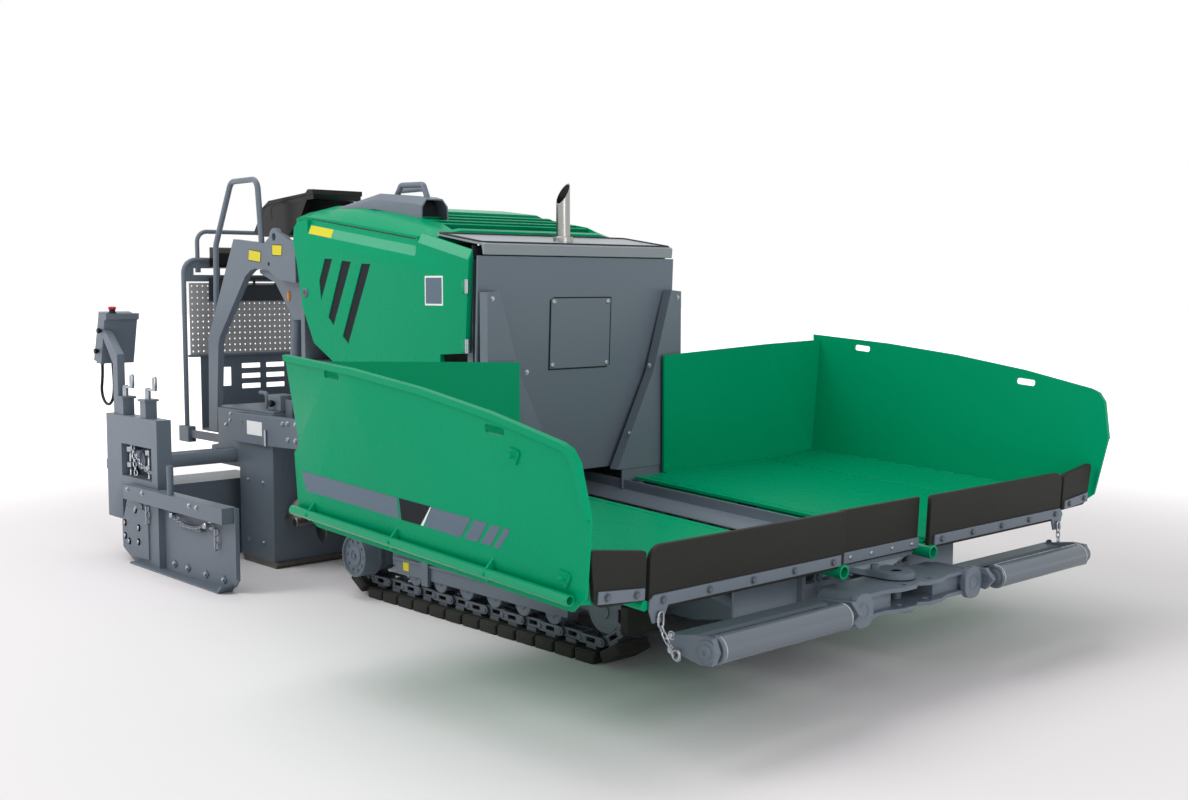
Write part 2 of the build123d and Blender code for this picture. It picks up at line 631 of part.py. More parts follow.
# ---- Push beam ----
def push_beam():
    z = ROLLER_AXIS_Z
    top, bottom = z + YOKE_HALF_HEIGHT, z - YOKE_HALF_HEIGHT
    half = [(BEAM_PIN_X - 95, 0), (BEAM_PIN_X - 95, HOUSING_Y), (BEAM_PIN_X + 95, HOUSING_Y),
            (BEAM_PIN_X + 95, 190), (BEAM_PIN_X + 118, 120), (BEAM_PIN_X + 118, 40), (BEAM_PIN_X + 95, 0)]
    pieces = []
    for low in (top, bottom - YOKE_PLATE):
        plate = flat_plate(half, low, low + YOKE_PLATE)
        pieces += [plate, mirrored(plate)]
    web = block(BEAM_PIN_X - 80, BEAM_PIN_X + 70, 130, HOUSING_Y, bottom - 1, top + 1)
    pieces += [web, mirrored(web)]
    back = block(BEAM_PIN_X - 80, BEAM_PIN_X - 60, -140, 140, bottom - 1, top + 1)
    pieces.append(back)
    channel = block(BEAM_PIN_X - 50, BEAM_PIN_X - 38, HOUSING_Y, PUSH_ROLLER_OUTER + 30, bottom + 6, top - 6)
    lips = [block(BEAM_PIN_X - 50, BEAM_PIN_X + 20, HOUSING_Y, PUSH_ROLLER_OUTER + 30, low, low + 12)
            for low in (bottom + 6, top - 18)]
    housing = bar((BEAM_PIN_X - 60, HOUSING_Y, z), (ROLLER_AXIS_X - 26, HOUSING_Y, z), HOUSING_RADIUS, 14)
    inner_lug = side_plate([(BEAM_PIN_X - 40, bottom + 8), (ROLLER_AXIS_X, z - 40), (ROLLER_AXIS_X + 34, z),
                            (ROLLER_AXIS_X, z + 40), (BEAM_PIN_X - 40, top - 8)], PUSH_ROLLER_INNER - 36,
                           PUSH_ROLLER_INNER - 14)
    outer_lug = side_plate([(BEAM_PIN_X - 50, bottom + 6), (ROLLER_AXIS_X - 30, z - 46),
                            (ROLLER_AXIS_X + 20, z - 42),
                            (ROLLER_AXIS_X + 38, z), (ROLLER_AXIS_X + 20, z + 42),
                            (ROLLER_AXIS_X - 40, z + 44),
                            (BEAM_PIN_X - 50, top - 6)], PUSH_ROLLER_OUTER + 8,
                            PUSH_ROLLER_OUTER + 8 + END_PLATE)
    link = block(BEAM_PIN_X - 50, BEAM_PIN_X + 20, HOUSING_Y, PUSH_ROLLER_INNER, bottom + 6, top - 6)
    arm = fuse([channel, *lips, housing, inner_lug, outer_lug, link])
    pieces += [arm, mirrored(arm)]
    pin_hole = bore((BEAM_PIN_X, 0, bottom - 60), (BEAM_PIN_X, 0, top + 60), BEAM_PIN_RADIUS + PIN_CLEARANCE)
    tow_bore = rod((BEAM_PIN_X + 80, 80, bottom - 60), (BEAM_PIN_X + 80, 80, top + 60), TOW_BORE_RADIUS)
    body = fuse(pieces) - pin_hole
    for side in (1, -1):
        y0, y1 = sorted((side * (PUSH_ROLLER_INNER - 40), side * (PUSH_ROLLER_OUTER + 40)))
        body = body - bore((ROLLER_AXIS_X, y0, z), (ROLLER_AXIS_X, y1, z), AXLE_RADIUS + PIN_CLEARANCE)
    return body - tow_bore - mirrored(tow_bore)


nodes["push_beam"] = push_beam()


def push_roller():
    z = ROLLER_AXIS_Z
    barrel = bar((ROLLER_AXIS_X, PUSH_ROLLER_INNER, z), (ROLLER_AXIS_X, PUSH_ROLLER_OUTER, z),
                 PUSH_ROLLER_RADIUS, 22)
    axle = rod((ROLLER_AXIS_X, PUSH_ROLLER_INNER - 34, z), (ROLLER_AXIS_X, PUSH_ROLLER_OUTER + 28, z),
               AXLE_RADIUS)
    return barrel + axle


pair("push_roller", push_roller())


# ---- Engine housing ----
def front_panel():
    panel = cross_plate([(-PANEL_HALF, 0), (PANEL_HALF, 0), (PANEL_HALF, PANEL_TOP - PANEL_BOTTOM),
                         (-PANEL_HALF, PANEL_TOP - PANEL_BOTTOM)], -SHEET, 0)
    cover = cross_plate([(-180, 475), (180, 475), (180, 790), (-180, 790)], 0, 6)
    place = Location((PANEL_X - math.tan(math.radians(PANEL_LEAN)) * (PANEL_TOP - PANEL_BOTTOM), 0,
                      PANEL_BOTTOM),
                     (0, PANEL_LEAN, 0))
    return place * (panel + cover)


nodes["front_panel"] = front_panel()


def deflector():
    x1 = DEFLECTOR_FRONT_X
    foot = PANEL_BOTTOM - 4
    face = cross_plate([(170, foot), (PANEL_HALF - 4, foot), (PANEL_HALF - 4, 1458), (520, 1464),
                        (400, 1080)],
                       x1 - DEFLECTOR_SHEET, x1)
    slant = cross_plate([(170, foot), (178, foot), (408, 1080), (528, 1464), (520, 1464), (400, 1080)],
                        PANEL_X + 3, x1 - DEFLECTOR_SHEET)
    outer = cross_plate([(PANEL_HALF - 12, foot), (PANEL_HALF - 4, foot), (PANEL_HALF - 4, 1458),
                         (PANEL_HALF - 12, 1458)], PANEL_X + 3, x1 - DEFLECTOR_SHEET)
    return fuse([face, slant, outer])


both("deflectors", deflector())


def lid():
    outline = [(PANEL_X + 12, LID_FRONT_Z - 52), (PANEL_X + 16, LID_FRONT_Z - 8), (PANEL_X + 4, LID_FRONT_Z),
               (LID_REAR_X, LID_REAR_Z), (LID_REAR_X, LID_REAR_Z - 10), (PANEL_X - 6, LID_FRONT_Z - 12),
               (PANEL_X + 2, LID_FRONT_Z - 52)]
    return side_plate(outline, -568, 568)


nodes["lid"] = lid()


def exhaust():
    """Upright pipe on the sloping lid, its mouth cut at a slant that opens backwards."""
    foot = LID_FRONT_Z - 30
    stack = tube((EXHAUST_X, 0, foot), (EXHAUST_X, 0, EXHAUST_TOP), EXHAUST_RADIUS, EXHAUST_RADIUS - 3)
    mouth = Pos(EXHAUST_X + 40, 0, EXHAUST_TOP + 20) * Rot(0, 40, 0) * Box(240, 120, 90)
    collar = tube((EXHAUST_X, 0, foot), (EXHAUST_X, 0, LID_REAR_Z - 10), EXHAUST_RADIUS + 12,
                  EXHAUST_RADIUS - 3)
    lid_side = side_plate([(LID_REAR_X, LID_REAR_Z), (PANEL_X + 4, LID_FRONT_Z), (PANEL_X + 4, foot - 60),
                           (LID_REAR_X, foot - 60)], -100, 100)
    return (stack - mouth) + collar - lid_side


nodes["exhaust"] = exhaust()


def engine():
    return block(-560, 330, -330, 330, TUNNEL_ROOF + SIDE_PLATE, 1560)


nodes["engine"] = engine()


def hood_edge(x):
    """Height where the side door meets the hood's top."""
    return 1690 - 0.134 * (x - 100)


DOOR_OUTLINE = [
    (478, 1608), (447, 1195), (266, 1184), (266, 1142), (-616, 1118), (-790, 1202), (-894, 1380),
    (-940, 1590),
    (-975, 1700), (-965, 1775), (-925, 1806), (-835, 1811), (84, 1688), (120, 1722), (470, 1655),
]
FACETS = (    # chamfers along the door's top: lower edge's ends (x, z), inset and height
    ((-834.0, 1740.0), (90.0, 1614.0), 18.0, 48.0),
    ((101.0, 1676.0), (520.0, 1583.0), 24.0, 46.0),
)
VENTS = (    # (x, z) corners of each slanted vent
    [(-679, 1615), (-609, 1614), (-717, 1411), (-732, 1509)],
    [(-524, 1604), (-443, 1598), (-605, 1293), (-653, 1332)],
    [(-353, 1588), (-277, 1585), (-476, 1207), (-526, 1242)],
)


def side_door():
    inner, outer = HOUSING_HALF - DOOR_THICK, HOUSING_HALF
    door = side_plate(DOOR_OUTLINE, inner, outer)
    recesses = [side_plate(vent, outer - 8, outer + 2) for vent in VENTS]
    chamfers = []
    for (x0, z0), (x1, z1), inset, height in FACETS:
        wedge = [(outer + 1, 0), (outer, 0), (outer - inset, height), (outer - inset, height + 80),
                 (outer + 1, height + 80)]
        chamfers.append(skin([[(x, y, z + rise) for y, rise in wedge] for x, z in ((x0, z0), (x1, z1))]))
    upper = rod((DOOR_HINGE_X, DOOR_HINGE_Y, 1452), (DOOR_HINGE_X, DOOR_HINGE_Y, 1512), DOOR_HINGE_RADIUS)
    lower = bar((DOOR_HINGE_X, DOOR_HINGE_Y, 1197), (DOOR_HINGE_X, DOOR_HINGE_Y, 1257), DOOR_HINGE_RADIUS)
    leaf = block(DOOR_HINGE_X - 46, DOOR_HINGE_X, outer - 1, outer + 5, 1457, 1507)
    return fuse([door - recesses - chamfers, upper, leaf, lower, Pos(0, 0, -255) * leaf])


pair("side_door", side_door())


def hood_top():
    """Roof of the engine housing, with a sunken grille of cross fins behind the lid."""
    rings = []
    for x, edge, roof in ((-985.0, 1812, 1838), (-945.0, 1822, 1868), (-850.0, 1815, 1884),
                          (-560.0, 1784, 1876),
                          (-300.0, 1748, 1846), (60.0, 1700, 1784), (190.0, 1683, 1732)):
        shoulder = edge + 0.62 * (roof - edge)
        half = [(572, edge - 8), (572, edge + 8), (520, shoulder), (420, roof)]
        rings.append([(x, y, z) for y, z in half] + [(x, -y, z) for y, z in reversed(half)])
    roof = skin(rings)
    slope = math.degrees(math.atan2(1846 - 1755, 430))
    place = Location((-290, 0, 1846 - 34), (0, slope, 0))
    pocket = place * block(0, 460, -455, 455, 0, 120)
    fins = [place * (Pos(x, 0, 0) * Rot(0, 20, 0) * block(-5, 5, -456, 456, -6, 30))
            for x in (70, 160, 250, 340)]
    grille = [fin & roof for fin in fins]
    return (roof - pocket) + grille


nodes["hood_top"] = hood_top()


def bay():
    """Frame of the engine bay: rear bulkhead, tanks below the doors and cross rails."""
    half = HOUSING_HALF - DOOR_THICK - 8
    bulkhead = block(HOOD_REAR_X, HOOD_REAR_X + 20, -half + 10, half - 10, BED_Z, 1780)
    bulkhead -= block(HOOD_REAR_X - 1, HOOD_REAR_X + 21, -TUNNEL_HALF, TUNNEL_HALF, BED_Z - 1, TUNNEL_ROOF)
    front_post = block(PANEL_X - 110, PANEL_X - 70, -half, half, 1560, 1600)
    tank = block(-940, 200, 345, half, BED_Z + BED_THICK, BAY_BOTTOM - 20)
    rail = block(-960, PANEL_X - 70, half - 40, half, 1560, 1590)
    post = block(PANEL_X - 110, PANEL_X - 70, half - 40, half, 1080, 1600)
    rear_link = block(-960, -930, 345, half, BED_Z + BED_THICK, 1600)
    shelf = block(-970, PANEL_X - 70, TUNNEL_HALF, half, BED_Z, BED_Z + BED_THICK)
    cheek = block(-970, PANEL_X - 70, TUNNEL_HALF, CHASSIS_HALF, BED_Z, TUNNEL_ROOF + SIDE_PLATE)
    roof = block(-970, PANEL_X - 70, -CHASSIS_HALF, CHASSIS_HALF, TUNNEL_ROOF, TUNNEL_ROOF + SIDE_PLATE)
    front_leg = block(PANEL_X - 140, PANEL_X - 70, 345, half, BED_Z + BED_THICK, 1090)
    bracket = block(TOW_PIN_X - 55, TOW_PIN_X + 55, 420, TOW_ARM_Y - TOW_ARM_GAP - 2, BED_Z + BED_THICK,
                    TOW_PIN_Z + 50)
    pin = rod((TOW_PIN_X, TOW_ARM_Y - 20, TOW_PIN_Z), (TOW_PIN_X, TOW_ARM_Y + 34, TOW_PIN_Z), 18)
    side = fuse([tank, rail, post, rear_link, front_leg, shelf, cheek, bracket, pin])
    return fuse([bulkhead, front_post, roof, side, mirrored(side)])


nodes["engine_bay_frame"] = bay()


SCOOP_RINGS = (    # x, foot, top, outer and inner side, height of the shoulder
    (-770.0, 1860, 1872, -470, -290, 4),
    (-440.0, 1850, 1926, -465, -285, 30),
    (-130.0, 1800, 1898, -460, -290, 34),
    (-70.0, 1770, 1886, -458, -300, 34),
)


def air_scoop():
    """Intake duct on the right of the roof, open to the front, with a grab bar on top."""
    outer, bore = [], []
    for x, foot, top, low_y, high_y, shoulder in SCOOP_RINGS:
        for rings, wall in ((outer, 0), (bore, 7)):
            rings.append([(x, low_y + wall, foot), (x, low_y + wall + 4, top - shoulder - wall),
                          (x, low_y + 34, top - wall), (x, high_y - 34, top - wall),
                          (x, high_y - wall - 4, top - shoulder - wall), (x, high_y - wall, foot)])
    front = bore[-1]
    shell = skin(outer) - skin(bore[1:-1] + [[(x + 1, y, z) for x, y, z in front]])
    grab = bent_bar([(-390, -375, 1905), (-345, -375, 1962), (-165, -375, 1957), (-128, -375, 1885)], 22,
                    12.5)
    return (shell + grab) - hood_top()


nodes["air_scoop"] = air_scoop()


# ---- Rear station on the tractor ----
def console():
    """Operator's console: a box with a raised roof over its instruments, on a bracket behind the housing."""
    near, far = -455, -170
    side = [(-1640, 1772), (-1540, 1896), (-1462, 1934), (-1084, 1957), (-1060, 1974), (-1015, 1972),
            (-1015, 1926),
            (-1080, 1924), (-1145, 1836), (-1265, 1748), (-1560, 1748)]
    body = side_plate(side, near, far)
    window = side_plate([(-1450, 1898), (-1400, 1912), (-1105, 1918), (-1165, 1842), (-1440, 1836)],
                        near - 1, far - 12)
    rim = side_plate([(-1545, 1896), (-1462, 1936), (-1084, 1960), (-1060, 1977), (-1012, 1975),
                      (-1012, 1950),
                      (-1075, 1948), (-1462, 1912)], near - 6, far + 6)
    bracket = block(-1290, HOOD_REAR_X, far - 150, far - 110, 1715, 1760)
    return fuse([body - window, rim, bracket])


nodes["console"] = console()


def arch():
    """Box-section leg and bridge, a lifting plate with an eye, and a flared plate over the lift cylinder."""
    outer = ARCH_Y + ARCH_PLATE
    leg = [(-1999, 672), (-1982, 1190), (-1667, 1735), (-1300, 1703), (-1240, 1560), (-1440, 1575),
           (-1484, 1566),
           (-1544, 1535), (-1847, 1204), (-1866, 1159), (-1892, 837), (-1900, 672)]
    box = side_plate(leg, ARCH_Y, outer)
    eye = [(EYE_X + EYE_RADIUS * math.cos(math.radians(a)), EYE_Z + EYE_RADIUS * math.sin(math.radians(a)))
           for a in range(180, 29, -15)]
    lifting = [(-1304, 1703), (-1286, 1712), *eye, (-1106, 1742), (-1060, 1718), (HOOD_REAR_X, 1709),
               (HOOD_REAR_X, 1500), (-1035, 1505), (-1169, 1518), (-1245, 1556), (-1300, 1610), (-1316, 1655)]
    plate = side_plate(lifting, outer - 6, outer - 6 + EYE_PLATE)
    joint = side_plate([(-1320, 1700), (-1020, 1700), (-1020, 1520), (-1200, 1545), (-1300, 1600)], ARCH_Y,
                       outer - 5)
    flare = side_plate([(-1450, 1570), (-1445, 1550), (-1285, 1499), (-1205, 1416), (-1140, 1347),
                        (-1130, 1310),
                        (-1000, 1310), (-1000, 1560)], ARCH_Y - 8, ARCH_Y + 1)
    body = fuse([box, joint, plate, flare])
    return body - rod((EYE_X, ARCH_Y - 10, EYE_Z), (EYE_X, outer + 40, EYE_Z), EYE_BORE)


both("arches", arch())


def hoop():
    """Grab rail in line with the arch's leg, which it meets at both ends."""
    y = ARCH_Y + ARCH_PLATE / 2
    rail = bent_bar([(-1917, y, 1290), (-1903, y, 1709), (-1715, y, 2045), (-1427, y, 2045),
                     (-1385, y, 1650)],
                    60, HOOP_RADIUS)
    return rail - arch()


both("handrails", hoop())


# ---- Screed: body, platform, guard and tow arms move as one ----
GUIDES = (    # x, z and radius of each extension tube
    (TUBE_X, TUBE_Z, TUBE_RADIUS),
    (TUBE_X - 200, TUBE_Z - 10, TUBE_RADIUS - 8),
)


def screed_body():
    front, rear = SCREED_FRONT_X, SCREED_FRONT_X - 360
    half, inner = SCREED_HALF, SCREED_HALF - SHEET
    skirt = block(rear, front, -half, half, SCREED_CLEAR, SCREED_SKIRT_TOP)
    hollow = block(rear + 12, front - 12, -inner, inner, SCREED_CLEAR + 12, SCREED_SKIRT_TOP - 12)
    pieces = [skirt - hollow, block(SCREED_REAR_X, front, -half, half, SCREED_TOP - 8, SCREED_TOP)]
    pieces.append(block(SCREED_REAR_X, SCREED_REAR_X + SHEET, -half, half, 615, SCREED_TOP - 4))
    pieces.append(block(front - SHEET, front, -half, half, SCREED_SKIRT_TOP - 2, SCREED_TOP - 4))
    cheek = side_plate([(front, SCREED_SKIRT_TOP - 4), (front, SCREED_TOP - 4),
                        (SCREED_REAR_X, SCREED_TOP - 4),
                        (SCREED_REAR_X, 615), (TUBE_X - 262, 600), (TUBE_X - 262, 505), (rear + 6, 505),
                        (rear + 6, SCREED_SKIRT_TOP - 4)], inner, half)
    for x, z, radius in GUIDES:
        pieces.append(bar((x, -inner, z), (x, inner, z), radius + 12, 12))
    body = fuse([*pieces, cheek, mirrored(cheek)])
    for x, z, radius in GUIDES:
        body = body - bar((x, -half - 1, z), (x, half + 1, z), radius + SLIDE_CLEARANCE, 12)
    lug = side_plate([(front - 30, 700), (LIFT_EYE_X + 34, 790), (LIFT_EYE_X + 34, LIFT_PIN_Z + 22),
                      (front - 30, LIFT_PIN_Z + 22)], 0, 10)
    lugs = [Pos(0, LIFT_Y + offset, 0) * lug for offset in (-30, 20)]
    return body + lugs + [mirrored(piece) for piece in lugs]


nodes["screed_body"] = screed_body()


def screed_sole():
    rear = SCREED_FRONT_X - 340
    return side_plate([(SCREED_FRONT_X + 18, SOLE_THICK + 16), (SCREED_FRONT_X + 4, 0), (rear, 0),
                       (rear, SCREED_CLEAR), (SCREED_FRONT_X + 4, SCREED_CLEAR)],
                      -SCREED_HALF + 4, SCREED_HALF - 4)


nodes["screed_sole"] = screed_sole()


def tow_arm():
    outline = [(TOW_ARM_REAR_X, 650), (SCREED_FRONT_X + 10, 652), (TOW_PIN_X, TOW_PIN_Z - 60),
               (TOW_PIN_X + 60, TOW_PIN_Z), (TOW_PIN_X, TOW_PIN_Z + 60), (SCREED_FRONT_X + 10, 812),
               (TOW_ARM_REAR_X, 804)]
    arm = side_plate(outline, TOW_ARM_Y, TOW_ARM_Y + TOW_ARM_THICK)
    spacer = side_plate([(TOW_ARM_REAR_X + 10, 660), (SCREED_FRONT_X - 30, 660), (SCREED_FRONT_X - 30, 795),
                         (TOW_ARM_REAR_X + 10, 792)], SCREED_HALF, TOW_ARM_Y)
    hole = bore((TOW_PIN_X, TOW_ARM_Y - 10, TOW_PIN_Z), (TOW_PIN_X, TOW_ARM_Y + 50, TOW_PIN_Z),
                18 + PIN_CLEARANCE)
    return arm + spacer - hole


both("tow_arms", tow_arm())


def guard():
    """Hoop rails behind the operator, on clamp blocks at the back of the screed."""
    half = GUARD_HALF
    low = bent_bar([(GUARD_X, -half, 640), (GUARD_X, -half, 1632), (GUARD_X, half, 1632),
                    (GUARD_X, half, 640)],
                   75, HOOP_RADIUS)
    high = bent_bar([(GUARD_X - 5, -half + 90, 1560), (GUARD_X - 5, -half + 90, 1795),
                     (GUARD_X - 5, half - 90, 1795),
                     (GUARD_X - 5, half - 90, 1560)], 60, HOOP_RADIUS - 2)
    clamps = [block(GUARD_X - 60, GUARD_X + 60, side * half - 24, side * half + 24, 590,
                    680) for side in (1, -1)]
    links = [block(GUARD_X, SCREED_REAR_X, side * (half - 2) - 10, side * (half - 2) + 10, 615, 660)
             for side in (1, -1)]
    joins = [block(GUARD_X - 12, GUARD_X + 8, side * (half - 90) - 14, side * (half - 90) + 14, 1560, 1640)
             for side in (1, -1)]
    brackets = [block(GUARD_X, GUARD_X + BOX_OFFSET, side * BRACKET_Y - 20,
                      side * BRACKET_Y + 20, 1612, 1640) for side in (1, -1)]
    slats = block(GUARD_X - 4, GUARD_X + 4, -half + 10, half - 10, 1508, 1622)
    slots = [block(GUARD_X - 9, GUARD_X + 9, y, y + 130, 1545, 1583) 
             for y in range(int(60 - half), int(half) - 180, 165)]
    return fuse([low, high, *clamps, *links, *joins, *brackets, slats - slots])


nodes["guard_rails"] = guard()


def tool_box():
    """Long box with a sloping lid on the guard's brackets."""
    back = GUARD_X + BOX_OFFSET
    return side_plate([(back, 1588), (back + 62, 1588), (back + 70, 1600), (back + 66, 1672),
                       (back + 40, 1702),
                       (back, 1706)], 150 - GUARD_HALF, GUARD_HALF - 150)


nodes["tool_box"] = tool_box()


def perforated_panel():
    x0 = GUARD_X + HOOP_RADIUS + 3
    return block(x0, x0 + 5, 20 - GUARD_HALF, GUARD_HALF - 20, 1090, 1500)


nodes["guard_panel"] = perforated_panel()


def rear_wall():
    x0 = GUARD_X + HOOP_RADIUS + 3
    half = GUARD_HALF - 80
    wall = block(x0, x0 + 8, -half, half, 662, 1075)
    cuts = [block(x0 - 5, x0 + 20, y, y + 110, 900, 1010) for y in (80 - half, half - 190)]
    for z in (880, 940, 1000):
        for y in (-240, -80, 80):
            cuts.append(block(x0 - 5, x0 + 20, y, y + 120, z, z + 28))
    rail = block(x0, x0 + 22, 5 - GUARD_HALF, GUARD_HALF - 5, 1075, 1090)
    foot = block(x0, SCREED_REAR_X, -half, half, 650, 662)
    return fuse([wall - cuts, rail, foot])


nodes["rear_wall"] = rear_wall()


def platform():
    """Operator's footboard, notched round the cylinder lugs."""
    board = block(SCREED_REAR_X + 14, SCREED_FRONT_X - 10, 15 - SCREED_HALF, SCREED_HALF - 15, SCREED_TOP,
                  SCREED_TOP + 12)
    notches = [block(SCREED_FRONT_X - 32, SCREED_FRONT_X, side * LIFT_Y - 34, side * LIFT_Y + 34,
                     SCREED_TOP - 1, SCREED_TOP + 13) for side in (1, -1)]
    return board - notches


nodes["platform"] = platform()


# ---- Extensions: slide sideways on the guide tubes ----
def extension():
    box_x0, box_x1 = END_BOX_REAR_X, END_BOX_FRONT_X
    low, high = 212.0, 783.0
    shell = block(box_x0, box_x1, END_BOX_INNER, END_BOX_OUTER, low, high)
    opening = block(box_x0 + 190, box_x1 - 70, END_BOX_INNER - 1, END_BOX_OUTER + 1, 455, 630)
    notch = block(box_x0 + 190, box_x1 + 1, END_BOX_INNER - 1, END_BOX_OUTER + 1, low - 1, 408)
    tubes = [bar((x, EXTENSION_INNER, z), (x, END_BOX_INNER + 4, z), radius, 12) for x, z, radius in GUIDES]
    tab = block(box_x0 - 60, box_x0, END_BOX_INNER, END_BOX_OUTER - 20, 465, 520)
    spindles = []
    for x in (box_x0 + 170, box_x1 - 180):
        spindles.append(block(x - 34, x + 34, END_BOX_INNER + 8, END_BOX_OUTER - 10, high - 2, 872))
        spindles.append(block(x - 44, x + 44, END_BOX_INNER, END_BOX_OUTER - 2, 872, 884))
    return fuse([shell - [opening, notch], *tubes, tab, *spindles])


def extension_screed():
    x0, x1 = -2080.0, -1750.0
    body = block(x0, x1, EXTENSION_INNER, END_BOX_INNER, 40, 420)
    sole = side_plate([(x1 + 14, 22), (x1 + 2, 0), (x0, 0), (x0, 40), (x1 + 2, 40)], EXTENSION_INNER,
                      END_BOX_INNER - 4)
    lug = block(TUBE_X - 218, TUBE_X - 182, END_BOX_INNER - 10, END_BOX_INNER, 418, TUBE_Z - 20)
    return fuse([body, sole, lug])


pair("extension", extension() + extension_screed())


def crank():
    z = 884.0
    pieces = []
    for x in (END_BOX_REAR_X + 170, END_BOX_FRONT_X - 180):
        y = (END_BOX_INNER + END_BOX_OUTER) / 2
        pieces.append(bar((x, y, z), (x, y, z + 46), 15))
        arm = block(x - 10, x + 96, y - 9, y + 9, z + 46, z + 56)
        knob = bar((x + 84, y, z + 50), (x + 84, y, z + 120), 11)
        pieces += [arm, knob]
    return pieces


def crank_set():
    found = crank()
    return Compound(children=[fuse(found[:3]), fuse(found[3:])])


pair("spindle_cranks", crank_set())


# ---- End gates: slide up and down on the end boxes ----
def end_gate():
    """Side plate with a channel along its top and a ski below; its rear part stands outside the end box."""
    far, near = END_BOX_OUTER + 4, GATE_OUTER
    inner = END_BOX_OUTER - 30
    step = END_BOX_FRONT_X + 18
    rear = side_plate([(GATE_REAR_X, 60), (GATE_REAR_X, 205), (GATE_REAR_X + 60, 346), (step + 10, 346),
                       (step + 10, 6),
                       (GATE_REAR_X + 130, 6)], far, far + 10)
    joggle = block(step, step + 10, inner, far + 10, 6, 346)
    front = side_plate([(step, 6), (step, 346), (GATE_FRONT_X + 45, 346), (GATE_FRONT_X + 45, 70),
                        (GATE_FRONT_X + 10, 30), (GATE_FRONT_X - 60, 6)], inner, inner + 10)
    edge = block(GATE_FRONT_X + 35, GATE_FRONT_X + 45, inner, inner + 22, 72, 420)
    channel = block(GATE_REAR_X + 87, step + 5, far, near, 344, 422)
    channel += block(step, GATE_FRONT_X + 22, inner + 2, near, 344, 422)
    ski = side_plate([(GATE_REAR_X + 150, 0), (GATE_FRONT_X - 40, 0), (GATE_FRONT_X, 38),
                      (GATE_FRONT_X - 12, 44),
                      (GATE_FRONT_X - 50, 10), (GATE_REAR_X + 150, 10)], inner, near)
    bracket = side_plate([(GATE_REAR_X + 10, 70), (GATE_REAR_X + 10, 200), (GATE_REAR_X + 60, 300),
                          (GATE_REAR_X + 330, 300), (GATE_REAR_X + 330, 40), (GATE_REAR_X + 120, 30)],
                         far + 9, far + 19)
    return fuse([rear, joggle, front, edge, channel, ski, bracket])


pair("end_gate", end_gate())


# ---- Control panels on the end boxes ----
def control_panel():
    """Panel box that leans back, on a post; its keys are on the rear side."""
    y0, y1 = END_BOX_INNER - 128, END_BOX_INNER + 62
    post = block(-2190, -2130, END_BOX_INNER + 20, END_BOX_OUTER - 20, 783, 1110)
    box = side_plate([(-2411, PANEL_FOOT), (-2328, 1330), (-2261, 1330), (-2261, 1298), (-2286, 1292),
                      (-2338, 1080),
                      (-2346, PANEL_FOOT)], y0, y1)
    keys = side_plate([(-2463, 1066), (-2378, 1340), (-2330, 1332), (-2412, 1056)], y0 + 8, y1 - 8)
    arm = side_plate([(-2190, 1060), (-2135, 1060), (-2135, 1110), (-2290, 1240), (-2325, 1212)],
                     END_BOX_INNER + 20, END_BOX_OUTER - 20)
    button = bar((-2298, END_BOX_INNER + 10, 1328), (-2298, END_BOX_INNER + 10, 1364), 16, 10)
    return fuse([post, arm, box, keys, button])


pair("control_panel", control_panel())


# ---- Cable of the right control panel, a free loop from the box's foot to its arm ----
def cord(points, diameter):
    """A cable of flat sides along straight runs, joined by arcs as wide as the two runs allow."""
    spots = [Vector(*p) for p in points]
    edges, radii, last = [], [], spots[0]
    for before, corner, after in zip(spots, spots[1:], spots[2:]):
        a, b = before - corner, after - corner
        reach = 0.45 * min(a.length, b.length)
        a, b = a.normalized(), b.normalized()
        half = math.radians(a.get_angle(b)) / 2
        radius = reach * math.tan(half)
        first, second = corner + a * reach, corner + b * reach
        centre = corner + (a + b).normalized() * (reach / math.cos(half))
        middle = centre + (corner - centre).normalized() * radius
        edges += [Line(last, first), ThreePointArc(first, middle, second)]
        radii.append(round(radius))
        last = second
    edges.append(Line(last, spots[-1]))
    path = Wire(edges)
    section = Plane(origin=spots[0], z_dir=spots[1] - spots[0]) * RegularPolygon(diameter / 2, 6)
    made = sweep(section, path=path)
    print("cord length", round(path.length), "radii", radii, "volume", round(made.volume),
          "section times length", round(section.area * path.length))
    return made


cable_y = (END_BOX_INNER + END_BOX_OUTER) / 2
cable_route = [(x, -cable_y, z) for x, z in CABLE_ROUTE]
nodes["right_panel_cable"] = cord(cable_route, CABLE_DIAMETER)
glands = []
for (x, y, z), rise in ((cable_route[0], GLAND_LENGTH + 1), (cable_route[-1], 30)):
    glands.append(bar((x, y, z), (x, y, z + rise), GLAND_RADIUS))
nodes["right_control_panel"] = nodes["right_control_panel"] + glands


# ---- Augers ----
def auger():
    """Shaft with a screw flight, in flat facets of equal turns."""
    shaft = bar((AUGER_X, AUGER_INNER + 10, AUGER_Z), (AUGER_X, AUGER_OUTER, AUGER_Z), AUGER_SHAFT, 12)
    journal = rod((AUGER_X, AUGER_INNER, AUGER_Z), (AUGER_X, AUGER_INNER + 10, AUGER_Z), AUGER_SHAFT)
    length = AUGER_OUTER - AUGER_INNER - 40
    steps = int(length / AUGER_PITCH * 12)
    rings = []
    for i in range(steps + 1):
        turn = math.radians(30 * i)
        y = AUGER_INNER + 20 + AUGER_PITCH * i / 12
        rings.append([(AUGER_X + radius * math.cos(turn), y + side, AUGER_Z + radius * math.sin(turn))
                      for radius,
                      side in ((AUGER_SHAFT - 4, 0), (AUGER_RADIUS, 0), (AUGER_RADIUS, FLIGHT_THICK),
                                           (AUGER_SHAFT - 4, FLIGHT_THICK))])
    return fuse([shaft, journal, skin(rings)])


pair("auger", auger())


